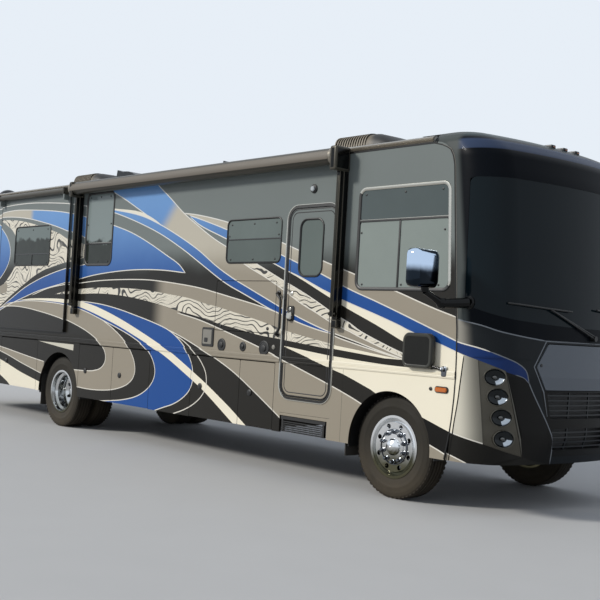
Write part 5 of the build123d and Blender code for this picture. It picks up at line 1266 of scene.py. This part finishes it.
def window_trim(row, side, sign):
    """Rim, dividers, corner dots and panes of one window."""
    name, body, x0, x1, z0, z1, corner, slant, rail_z, post_x, reach, kind = row
    bm = bmesh.new()
    thin = name in THIN_RIMS
    grows = (0.014, 0.011, 0.005, -0.004, -0.008) if thin else (0.026, 0.022, 0.006, -0.008, -0.010)
    rims = [rectangle(x0, x1, z0, z1, corner, grow, slant) for grow in grows]

    def bright_part(k):
        x, z = (Vector(rims[0][k]) + Vector(rims[0][(k + 1) % len(rims[0])])) / 2
        return int(kind == "bright" and (z > z1 - 0.02 or (x > x1 - 0.07 and z > z0 + 0.02)))

    trim_ring(bm, rims, [reach + out for out in (0.0014, 0.009, 0.011, 0.004, -0.004)], sign, bright_part)
    front = x1 - slant * (rail_z - z0) / (z1 - z0)
    base = reach - 0.003
    y0, y1 = sign * (HALF + base), sign * (HALF + base + 0.008)
    rails = ((-0.006, 0.004, 0),) if thin else ((-0.012, 0.006, 0), (0.006, 0.014, 1))
    for low, high, material in rails:
        add_box(bm, x0, front, y0, y1, rail_z + low, rail_z + high, 0.002, material)
    if post_x is not None:
        add_box(bm, post_x - 0.010, post_x + 0.010, y0, y1, z0, rail_z, 0.002)
    dots = [(x, z) for x in (x0 + 0.07, (x0 + x1) / 2, front - 0.09) for z in (z0 + 0.035, z1 - 0.05)]
    dots += [(x, (z0 + z1) / 2 + 0.06) for x in (x0 + 0.03, front - 0.045)]
    for x, z in dots:
        add_lathe(bm, [(0, 0.011), (0.006, 0.010), (0.009, 0.0)], (x, y0, z), "Y", 12, 0, sign)
    fitting(f"{name}_trim_{side}", bm, body, TRIM)
    points, faces = [], []
    for low, high in ((z0, rail_z), (rail_z, z1)):
        lean = slant if kind == "bright" else 0
        front_low, front_high = (x1 - lean * (z - z0) / (z1 - z0) - 0.008 for z in (low, high))
        loop = rounded([(x0 + 0.008, low + 0.008), (front_low, low + 0.008), (front_high, high - 0.008),
                        (x0 + 0.008, high - 0.008)], 0.04)
        ids = list(range(len(points), len(points) + len(loop)))
        points += [Vector(side_point(x, base + 0.001, z, sign)) + SHIFT for x, z in loop]
        faces.append(ids if sign < 0 else ids[::-1])
    add_mesh(f"{name}_panes_{side}", points, faces, body, PANES[kind], (0, 1))


def entry_door_trim():
    """Frame round the entry door, its window's border, latch and lock."""
    def rings(grows, outline=(*DOOR, 0.12)):
        return [rectangle(*outline, grow) for grow in grows]

    bm = bmesh.new()
    trim_ring(bm, rings((0.047, 0.044, 0.037, 0.034)), [0.0014, 0.010, 0.010, 0.005], -1, 1)
    trim_ring(bm, rings((0.034, 0.0095, 0.0085)), [0.005, 0.006, -0.006], -1, 0)
    fitting("entry_door_frame", bm, "coach", TRIM)
    bm = bmesh.new()
    trim_ring(bm, rings((-0.001, -0.001, -0.011, -0.013)), [-0.004, 0.005, 0.006, 0.0014], -1)
    trim_ring(bm, rings((-0.035, -0.038, -0.043, -0.046)), [0.0014, 0.0035, 0.0035, 0.0014], -1)
    pane = rings((0.016, 0.013, 0.006, -0.006, -0.008), (-1.40, -1.055, 2.12, 2.71, 0.09))
    trim_ring(bm, pane, [0.0014, 0.010, 0.012, 0.004, -0.006], -1)
    pad(bm, rectangle(-1.545, -1.437, 1.640, 1.800, 0.022), 0.0015, 0.012, -1)
    pad(bm, rectangle(-1.528, -1.454, 1.655, 1.735, 0.015), 0.0135, 0.028, -1, 1, 0.010)
    disc(bm, -1.491, 1.768, [(0.013, 0.020), (0.019, 0.019), (0.021, 0.012), (0.021, 0.0)], -1, 1)
    disc(bm, -1.491, 1.93, [(0.0015, 0.024), (0.008, 0.023), (0.011, 0.014), (0.011, 0.0)], -1, 1)
    fitting("entry_door_fittings", bm, "entry_door", TRIM)


# ---------------------------------------------------------------- fittings of the walls
# The assist handle beside the entry door as x, z and reach
GRIP = [(-1.700, 1.935, 0.001), (-1.692, 1.929, 0.036), (-1.672, 1.912, 0.045), (-1.630, 1.876, 0.045),
        (-1.618, 1.845, 0.045), (-1.618, 1.700, 0.045), (-1.618, 1.565, 0.045), (-1.632, 1.535, 0.045),
        (-1.665, 1.502, 0.045), (-1.682, 1.493, 0.036), (-1.686, 1.490, 0.001)]
GRIP_FOOT = [(0.001, 0.030), (0.010, 0.028), (0.014, 0.016), (0.014, 0.0)]
# Turned fittings of the right wall: x, z, material, segments, profile
DISCS = [
    (-1.700, 1.935, 0, 20, GRIP_FOOT), (-1.685, 1.490, 0, 20, GRIP_FOOT),
    *((x, 1.33, 0, 32, [(0.001, r), (0.008, r - 0.003), (0.010, r - 0.012), (0.006, r - 0.016), (0.007, r * 0.45),
                        (0.016, r * 0.4), (0.018, r * 0.33), (0.018, 0.0)])
      for x, r in ((-2.66, 0.075), (-2.27, 0.055), (-1.90, 0.085))),
    (-1.74, 1.35, 2, 20, [(0.001, 0.026), (0.009, 0.024), (0.014, 0.012), (0.015, 0.0)]),
    (-1.23, 3.03, 0, 28, [(0.001, 0.048), (0.012, 0.046), (0.016, 0.038), (0.024, 0.020), (0.026, 0.0)]),
    (-1.23, 3.03, 3, 28, [(0.024, 0.030), (0.034, 0.024), (0.037, 0.0)]),
    (0.505, 1.085, 0, 20, [(0.001, 0.018), (0.008, 0.017), (0.010, 0.010), (0.010, 0.0)]),
    *((x, 1.085, 4, 20, [(0.001, 0.030), (0.010, 0.028), (0.014, 0.014), (0.015, 0.0)]) for x in (-8.7, -9.4)),
]
# Plates: outline and corner, reach, thickness, material, eased edge
MARKER = [((0.555, 0.715, 1.055, 1.115, 0.028), 0.001, 0.010, 0, 0.003),
          ((0.566, 0.704, 1.064, 1.106, 0.020), 0.011, 0.012, 4, 0.006)]
PLATES = {
    "right": MARKER + [((-3.035, -2.815, 1.300, 1.520, 0.02), 0.001, 0.012, 0, 0.004),
                       ((-3.010, -2.840, 1.325, 1.495, 0.012), 0.013, 0.006, 2, 0.004),
                       ((-2.972, -2.912, 1.350, 1.400, 0.008), 0.019, 0.006, 0, 0.003),
                       ((-9.95, -9.62, 1.50, 1.98, 0.02), 0.001, 0.010, 0, 0.004)],
    "left": MARKER + [((-5.42, -5.02, 1.30, 1.72, 0.02), 0.001, 0.012, 0, 0.004),
                      ((-5.39, -5.05, 1.33, 1.69, 0.012), 0.013, 0.006, 2, 0.004),
                      ((-8.9, -8.5, 1.55, 1.90, 0.02), 0.001, 0.012, 0, 0.004)],
}
BAY_LATCH = [(0.0015, 0.036), (0.010, 0.035), (0.0125, 0.030), (0.0125, 0.012), (0.015, 0.011), (0.015, 0.0)]


def wall_fittings(side, sign):
    """Ports, outlet box, lamps, markers and the assist handle."""
    bm = bmesh.new()
    if side == "right":
        tube(bm, [side_point(x, reach, z) for x, z, reach in GRIP], 0.0145, 12)
        for x, z, material, segments, profile in DISCS:
            disc(bm, x, z, profile, sign, material, segments)
    for outline, reach, thick, material, bevel in PLATES[side]:
        pad(bm, rectangle(*outline), reach, thick, sign, material, bevel)
    fitting(f"wall_fittings_{side}", bm, "coach", (*TRIM, "grey_plastic", "lens", "amber"))


def door_latches():
    """A latch on each bay door and two on the outside kitchen's flap."""
    for side, sign in SIDES:
        for index, rear in enumerate(BAY_DOORS[side], 1):
            bm = bmesh.new()
            disc(bm, rear + 0.190, 0.83, BAY_LATCH, sign, 0, 24)
            fitting(f"bay_latch_{side}_{index}", bm, f"bay_door_{side}_{index}", TRIM[:1])
    bm = bmesh.new()
    for x in (-2.70, -1.86):
        disc(bm, x, 1.545, [(0.0015, 0.020), (0.007, 0.019), (0.009, 0.010), (0.009, 0.0)], -1)
    fitting("screen_flap_latches", bm, "screen_flap", TRIM[:1])


# ---------------------------------------------------------------- roof edge, awning and roof gear
# Mouldings along the roof edge: front end, material and section as y, z
ROOF_RAIL = (
    (0.385, 0, [(1.2755, 3.366), (1.2845, 3.366), (1.2925, 3.373), (1.2885, 3.3775), (1.2945, 3.382),
                (1.2905, 3.3865), (1.2950, 3.391), (1.2905, 3.3955), (1.2925, 3.400), (1.2860, 3.410),
                (1.2720, 3.419), (1.2600, 3.4235), (1.2600, 3.410), (1.2755, 3.396)]),
    (0.43, 1, [(1.2755, 3.350), (1.2815, 3.351), (1.2835, 3.3655), (1.2755, 3.3655)]),
    (0.37, 1, [(1.2605, 3.424), (1.2300, 3.430), (1.1900, 3.4345), (1.1900, 3.4300), (1.2300, 3.4255),
               (1.2600, 3.419)]),
)


def roof_edges(side, sign):
    """Grooved metal rail along a roof edge with a black strip under it."""
    bm = bmesh.new()
    for front, material, section in ROOF_RAIL:
        extrude_x(bm, [(sign * y, z) for y, z in section], REAR_SEAM + 0.02, front, material)
    fitting(f"roof_rail_{side}", bm, "coach", ("gutter", "black_plastic"), 20)


def awning():
    """Rolled fabric with its end castings and the folded arms against the wall."""
    bm = bmesh.new()
    y, z, radius, foot = -1.400, 3.318, 0.085, 1.600
    add_lathe(bm, [(-6.045, 0.0), (-6.045, 0.070), (-6.030, radius), (-0.822, radius), (-0.808, 0.070),
                   (-0.808, 0.0)], (0, y, z), "X", 40)
    flap = [(-0.030, 0.078), (-0.078, 0.045), (-0.094, -0.004), (-0.090, -0.040), (-0.0865, -0.038),
            (-0.0900, -0.004), (-0.0745, 0.043), (-0.028, 0.0745)]
    extrude_x(bm, [(y + out, z + up) for out, up in flap], -6.02, -0.83, 2)
    for rear, front in ((-0.835, -0.790), (-6.062, -6.018)):
        add_lathe(bm, [(rear, 0.0), (rear, 0.088), (rear + 0.008, 0.094), (front - 0.008, 0.094), (front, 0.088),
                       (front, 0.0)], (0, y, z), "X", 40, 1)
    for x, wide, low, high in ((-0.755, 0.048, 0.155, 0.093), (-6.000, 0.040, 0.120, 0.088)):
        for half, y0, y1, z0, z1, bevel, material in (
                (wide, -1.487, -1.277, z - low, z + high, 0.026, 3),
                (0.033, -1.345, -1.277, foot, z - 0.10, 0.008, 3),
                (0.026, -1.393, -1.344, foot + 0.10, z - 0.09, 0.007, 3),
                (0.015, -1.397, -1.392, foot + 0.16, z - 0.20, 0.002, 4),
                (0.040, -1.352, -1.277, foot - 0.012, foot + 0.075, 0.012, 3)):
            add_box(bm, x - half, x + half, y0, y1, z0, z1, bevel, material)
        add_lathe(bm, [(-0.05, 0.0), (-0.05, 0.016), (0.05, 0.016), (0.05, 0.0)], (x, -1.372, foot + 0.13),
                  "X", 16, 4)
    looks = ("awning_tube", "gutter", "awning_edge", "gloss_black", "dark_metal")
    fitting("awning_assembly", bm, "coach", looks, 30, "awning")


# Closed slide-out room of each side: x rear, x front, z low, z high
ROOMS = {"right": (-8.35, -6.32, 1.37, 3.25), "left": (-4.90, -1.65, 1.37, 3.15)}


def slide_trim(side, sign):
    """Rolled cover over a slide-out room with its end brackets, and the room's edge."""
    x0, x1, _, top = ROOMS[side]
    body = f"slide_room_{side}"
    bm = bmesh.new()
    y, z = sign * 1.375, top + 0.065
    add_lathe(bm, [(x0 - 0.02, 0.0), (x0 - 0.02, 0.040), (x1 + 0.02, 0.040), (x1 + 0.02, 0.0)], (0, y, z), "X", 28)
    for x in (x0, x1):
        add_box(bm, x - 0.016, x + 0.016, y - sign * 0.085, y + sign * 0.046, z - 0.050, z + 0.047, 0.010, 1)
    fitting(f"slide_topper_{side}", bm, body, ("awning_tube", "gloss_black"), 30)
    bm = bmesh.new()
    edge = [rectangle(*ROOMS[side], 0.008, grow) for grow in (0.0455, 0.0455, 0.036, 0.034)]
    trim_ring(bm, edge, [0.026, 0.043, 0.0445, 0.0412], sign)
    fitting(f"slide_edge_{side}", bm, body, TRIM[:1], 30)


# Sections of a cooling unit: place along it, half width, height
COOLER = [(-0.550, 0.325, 0.17), (-0.530, 0.340, 0.30), (-0.480, 0.345, 0.365), (-0.400, 0.348, 0.374),
          (0.020, 0.350, 0.374), (0.120, 0.346, 0.374), (0.230, 0.335, 0.345), (0.400, 0.310, 0.255),
          (0.500, 0.285, 0.150), (0.550, 0.250, 0.055)]
COOLER_BASE = 3.432


def arc_section(half_width, height, across, upright, steps=16):
    """Squared arch as (y, height) points; the two powers set how square it is."""
    turns = [(math.cos(math.pi * k / steps), math.sin(math.pi * k / steps)) for k in range(steps + 1)]
    return [(half_width * math.copysign(abs(c) ** across, c), height * abs(s) ** upright) for c, s in turns]


def roof_units():
    """Cooling units with ribbed sides and a tapered nose."""
    bm = bmesh.new()
    rib = arc_section(0.356, 0.385, 0.34, 0.38)
    for x in (-1.480, -7.500):
        rows = [[bm.verts.new((x + along + AXLE, y, COOLER_BASE + up))
                 for y, up in arc_section(half_width, height, 0.38, 0.42)] for along, half_width, height in COOLER]
        bridge(bm, rows, closed=False)
        bm.faces.new(rows[0][::-1])
        bm.faces.new(rows[-1])
        for index in range(13):
            at = x - 0.475 + index * 0.040
            for (y0, up0), (y1, up1) in zip(rib, rib[1:]):
                corners = ((y0, up0), (y1, up1), (y1 * 0.955, up1 * 0.955), (y0 * 0.955, up0 * 0.955))
                extrude_x(bm, [(y, COOLER_BASE + up) for y, up in corners], at, at + 0.016)
    fitting("air_conditioner_shrouds", bm, "coach", ("beige",), 40, "air_conditioners")


def clearance_lamps():
    bm = bmesh.new()
    for y in (-0.20, 0.0, 0.20):
        add_box(bm, 0.835, 0.955, y - 0.034, y + 0.034, 3.400, 3.456, 0.010, 0)
        add_box(bm, 0.910, 0.960, y - 0.024, y + 0.024, 3.425, 3.448, 0.008, 1)
    fitting("clearance_lamps", bm, "coach", ("smoke_plastic", "amber"))


# ---------------------------------------------------------------- mirrors
MIRROR_LOOKS = ("mirror_chrome", "black_plastic", "mirror_glass", "gloss_black", "low_mirror", "mirror_rim",
                "chrome")
# Low mirror's shell: reach and how much its outline grows
LOW_MIRROR = ((0.022, -0.012), (0.030, 0.0), (0.066, 0.0), (0.078, -0.010), (0.080, -0.028), (0.0775, -0.033))


def high_mirror(bm, sign):
    """Chrome mirror on a black arm."""
    x, y, z = 0.700, sign * 1.682, 2.155
    half_width, half_height = 0.325 / 2, 0.340 / 2

    def outline(along, a, b, radius):
        loop = rectangle(-a, a, -b, b, radius, steps=8)
        return [bm.verts.new((x + along + AXLE, y + across, z + up)) for across, up in loop]

    rows = [outline(along, half_width * scale, half_height * scale, 0.055 * scale) for along, scale in (
        (-0.060, 0.965), (-0.050, 1.0), (0.010, 1.0), (0.035, 0.965), (0.052, 0.88), (0.060, 0.72))]
    bridge(bm, rows)
    bm.faces.new(rows[-1]).material_index = 0
    bm.faces.new(rows[0][::-1]).material_index = 1
    glass = outline(-0.0615, half_width - 0.018, half_height - 0.018, 0.042)
    bm.faces.new(glass[::-1]).material_index = 2
    foot, elbow, low = (0.875, sign * 1.262, 1.880), (0.740, sign * 1.465, 1.860), z - half_height
    tube(bm, [foot, (0.845, sign * 1.31, 1.873), elbow], [0.050, 0.046, 0.043], 16, 3)
    add_lathe(bm, [(-0.043, 0.0), (-0.043, 0.030), (-0.025, 0.044), (0.025, 0.046), (0.045, 0.036), (0.045, 0.0)],
              elbow, "Z", 20, 3)
    tube(bm, [elbow, (0.722, sign * 1.56, low - 0.075), (0.710, sign * 1.660, low - 0.030)], [0.034, 0.029, 0.028],
         16, 3)
    add_lathe(bm, [(-0.040, 0.0), (-0.040, 0.030), (-0.010, 0.036), (0.001, 0.036), (0.001, 0.0)],
              (0.710, sign * 1.662, low), "Z", 20, 3)
    add_lathe(bm, [(-0.012, 0.062), (0.004, 0.062), (0.016, 0.050), (0.018, 0.0)],
              (0.885, sign * 1.262, 1.880), "Y", 24, 3, sign)


def low_mirror(bm, sign):
    """Mirror folded along the wall on a short arm."""
    loops = [rectangle(0.1925, 0.5575, 1.2625, 1.5875, 0.072, grow) for _, grow in LOW_MIRROR]
    reaches = [reach for reach, _ in LOW_MIRROR]
    trim_ring(bm, loops, reaches, sign, 5)
    wall_face(bm, loops[-1], reaches[-1], sign, 4)
    wall_face(bm, loops[0][::-1], reaches[0], sign, 3)
    tube(bm, [side_point(x, reach, z, sign) for x, reach, z in (
        (0.465, 0.042, 1.315), (0.560, 0.046, 1.288), (0.652, 0.044, 1.272))], 0.013, 12, 3)
    add_lathe(bm, [(-0.024, 0.0), (-0.018, 0.014), (0, 0.021), (0.018, 0.014), (0.024, 0.0)],
              side_point(0.655, 0.040, 1.272, sign), "Z", 16, 6)
    pad(bm, rectangle(0.630, 0.690, 1.205, 1.300, 0.014), 0.0015, 0.022, sign, 6, 0.006)


def mirrors():
    bm = bmesh.new()
    for _, sign in SIDES:
        high_mirror(bm, sign)
        low_mirror(bm, sign)
    fitting("mirror_set", bm, "coach", MIRROR_LOOKS, 40, "mirrors")


# ---------------------------------------------------------------- lamps, cap seam and nose
LAMPS = [(-0.018, 1.235), (0.016, 1.065), (0.057, 0.885), (0.086, 0.699)]  # place across the panel, z
LAMP_WIDTH = 1.28  # a lamp's width over its height
LAMP_SIDES = 40
# Bright ring, dark bowl and lens as (distance outwards, radius) points
LAMP_PARTS = (
    [(-0.0260, 0.0800), (0.0005, 0.0800), (0.0035, 0.0765), (0.0010, 0.0725), (-0.0080, 0.0710)],
    [(-0.0080, 0.0710), (-0.0140, 0.0680), (-0.0230, 0.0600), (-0.0300, 0.0480), (-0.0345, 0.0330),
     (-0.0360, 0.0180)],
    [(-0.0360, 0.0180), (-0.0290, 0.0200), (-0.0200, 0.0170), (-0.0150, 0.0090), (-0.0140, 0.0)],
)


def lamp_frame(w, z, sign):
    """Centre and directions of a lamp on the cap's corner: outwards, towards the nose, up."""
    front, side, corner = CAP_SECTIONS[2][1:]
    corner_y = side - corner
    corner_x = front - BULGE + math.sqrt((BULGE - corner) ** 2 - corner_y ** 2)
    angle = math.asin((w - (corner_x - corner_y) / math.sqrt(2)) / corner) - math.pi / 4
    out = Vector((math.cos(angle), math.sin(angle), 0))
    origin = Vector((corner_x + AXLE + corner * out.x, -corner_y + corner * out.y, z))
    across = Vector((-out.y, out.x, 0))
    if sign > 0:
        origin.y, out.y, across.y = -origin.y, -out.y, -across.y
    return origin, out, across, Vector((0, 0, 1))


def lamp_panel():
    """The right lamp panel's points, sunk a little into the cap, and its faces with holes for the lamps."""
    edge = lamp_edge(14)
    circles = []
    for p, z in (at_lamp(w, z) for w, z in LAMPS):
        _, _, corner, _, _, turn = cap_plan(z)
        scale = LAMP_WIDTH * CORNER / (corner * (math.pi / 2 - turn))
        circles.append([(p + 0.079 * scale * math.cos(a), z + 0.079 * math.sin(a))
                        for a in np.linspace(0, 2 * math.pi, LAMP_SIDES, endpoint=False)])
    grid = [(p, z) for p in np.linspace(0.05, 0.62, 14) for z in np.linspace(0.5, 1.4, 24)]
    verts, faces, centres = triangulate([edge, *circles], [], grid)
    places, local = own_faces(verts, faces[inside(centres, [edge]) & ~inside(centres, circles)], -1)
    points = []
    for p, z in places:
        x, y, _ = cap_point(p, z)
        corner_x, corner_y = cap_plan(z)[3:5]
        out = Vector((x - corner_x, y + corner_y, 0)).normalized()
        points.append(Vector((x + AXLE, y, z)) - out * 0.006)
    return points, local


def lamp_panels():
    """Bronze panel in each front corner with four round lamps: bright ring, dark bowl, lens, and a reflector
    quarter made bright as a painted reflection of the sky.
    """
    points, local = lamp_panel()
    for side, sign in SIDES:
        faces = local if sign < 0 else local[:, ::-1]
        placed = [(x, -sign * y, z) for x, y, z in points]
        panel = add_mesh(f"lamp_panel_{side}", placed, faces, "coach", ["bezel"], smooth=True)
        if sign < 0:
            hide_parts("headlamps")
        bm = bmesh.new()
        for w, z in LAMPS:
            origin, out, across, up = lamp_frame(w, z, sign)
            angles = [2 * math.pi * k / LAMP_SIDES for k in range(LAMP_SIDES)]
            turns = [across * (math.cos(a) * LAMP_WIDTH) + up * math.sin(a) for a in angles]
            for part, profile in enumerate(LAMP_PARTS):
                rows = [[bm.verts.new(origin + out * along + turn * radius)
                         for turn in (turns if radius else turns[:1])] for along, radius in profile]
                for index in range(len(rows) - 1):
                    # The reflector's bright quarter in the middle rings of the bowl is a painted reflection of the
                    # sky
                    lit = range(31, 39) if part == 1 and 0 < index < 4 else ()
                    bridge(bm, rows[index:index + 2], lambda k: 3 if k in lit else part)
        looks = ("bezel", "lamp_dark", "projector", "lamp_painted_reflection")
        fitting(f"lamp_units_{side}", bm, "coach", looks, 50)


def cap_seam(side, sign):
    """Black bead with a bright lip where the walls meet the cap, curving over the roof edge."""
    bm = bmesh.new()
    levels = np.concatenate([np.linspace(0.47, 3.10, 30), np.linspace(3.13, 3.355, 10)])
    line = [(seam_x(z), sign * (HALF + 0.0005), z) for z in levels]
    tube(bm, line, 0.0065, 8)
    tube(bm, [(x + 0.012, y, z) for x, y, z in line if z > 1.55], 0.0035, 6, 1)
    fitting(f"cap_seam_{side}", bm, "coach", ("black_plastic", "grey_plastic"))


def nose_backing():
    """Dark backing behind the grille and the air intake, and the hood's locks."""
    bm = bmesh.new()
    add_box(bm, 1.195, 1.200, -0.66, 0.66, 0.560, 1.140, 0.002)
    y, z = 0.709, 1.357
    x = cap_point(*at_y(y, z))[0] - 0.002
    for _, sign in SIDES:
        add_lathe(bm, [(0.0, 0.015), (0.006, 0.014), (0.008, 0.0)], (x, sign * y, z), "X", 16)
    fitting("nose_backing", bm, "coach", TRIM)


# ---------------------------------------------------------------- camera, stage and light
def make_camera():
    yaw, pitch, roll = (math.radians(a) for a in (-48.363, 1.584, 3.24))
    ahead = Vector((math.sin(yaw) * math.cos(pitch), math.cos(yaw) * math.cos(pitch), math.sin(pitch)))
    level = Vector((math.cos(yaw), -math.sin(yaw), 0))
    upright = level.cross(ahead)
    right = math.cos(roll) * level + math.sin(roll) * upright
    up = -math.sin(roll) * level + math.cos(roll) * upright
    camera = bpy.data.objects.new("camera", bpy.data.cameras.new("camera"))
    camera.data.sensor_width = 36
    camera.data.lens = 1034.02 / 600 * camera.data.sensor_width
    camera.data.clip_end = 200
    place = Matrix((right, up, -ahead)).transposed().to_4x4()
    place.translation = (6.7512 + AXLE, -8.4853, 1.5650)
    camera.matrix_world = place
    bpy.context.scene.collection.objects.link(camera)
    bpy.context.scene.camera = camera


def make_stage():
    """Pale floor, soft sun, and a sky that is even where it is seen and bluer where it lights."""
    mesh = bpy.data.meshes.new("floor")
    size = 70
    mesh.from_pydata([(-size, -size, 0), (size, -size, 0), (size, size, 0), (-size, size, 0)], [], [(0, 1, 2, 3)])
    floor = bpy.data.objects.new("floor", mesh)
    bpy.context.scene.collection.objects.link(floor)
    floor.data.materials.append(surface("floor_pale", (0.60, 0.60, 0.59), roughness=0.85, vary=0.03, scale=2))
    sun = bpy.data.objects.new("key", bpy.data.lights.new("key", "SUN"))
    sun.data.energy = 2.45
    sun.data.angle = math.radians(10)
    sun.data.color = (1.0, 0.965, 0.91)
    sun.rotation_euler = Vector((0.50, 0.74, -0.45)).to_track_quat("-Z", "Y").to_euler()
    bpy.context.scene.collection.objects.link(sun)
    world = bpy.data.worlds.new("studio")
    bpy.context.scene.world = world
    world.use_nodes = True
    tree = world.node_tree
    tree.nodes.clear()
    light, seen = tree.nodes.new("ShaderNodeBackground"), tree.nodes.new("ShaderNodeBackground")
    feed(tree, light, {"Color": (0.80, 0.87, 1.0, 1), "Strength": 0.45})
    feed(tree, seen, {"Color": (0.80, 0.86, 0.93, 1)})
    rays = tree.nodes.new("ShaderNodeLightPath").outputs
    share = math_node(tree, "MAXIMUM", rays["Is Camera Ray"], rays["Is Glossy Ray"])
    share = math_node(tree, "MAXIMUM", share, rays["Is Transmission Ray"])
    mix = tree.nodes.new("ShaderNodeMixShader")
    feed(tree, mix, {0: share, 1: light.outputs[0], 2: seen.outputs[0]})
    feed(tree, tree.nodes.new("ShaderNodeOutputWorld"), {0: mix.outputs[0]})


# ---------------------------------------------------------------- the scene
make_camera()
make_stage()
finish_nodes()
for name, direction in SIDES:
    paint_side(name, direction)
rear_face()
front_cap()
wheels()
for name, direction in SIDES:
    arches(name, direction)
    for window in WINDOW_TABLE[name]:
        window_trim(window, name, direction)
    wall_fittings(name, direction)
    roof_edges(name, direction)
    slide_trim(name, direction)
    cap_seam(name, direction)
entry_door_trim()
door_latches()
awning()
roof_units()
clearance_lamps()
mirrors()
lamp_panels()
nose_backing()

bpy.context.scene.view_settings.view_transform = "Standard"
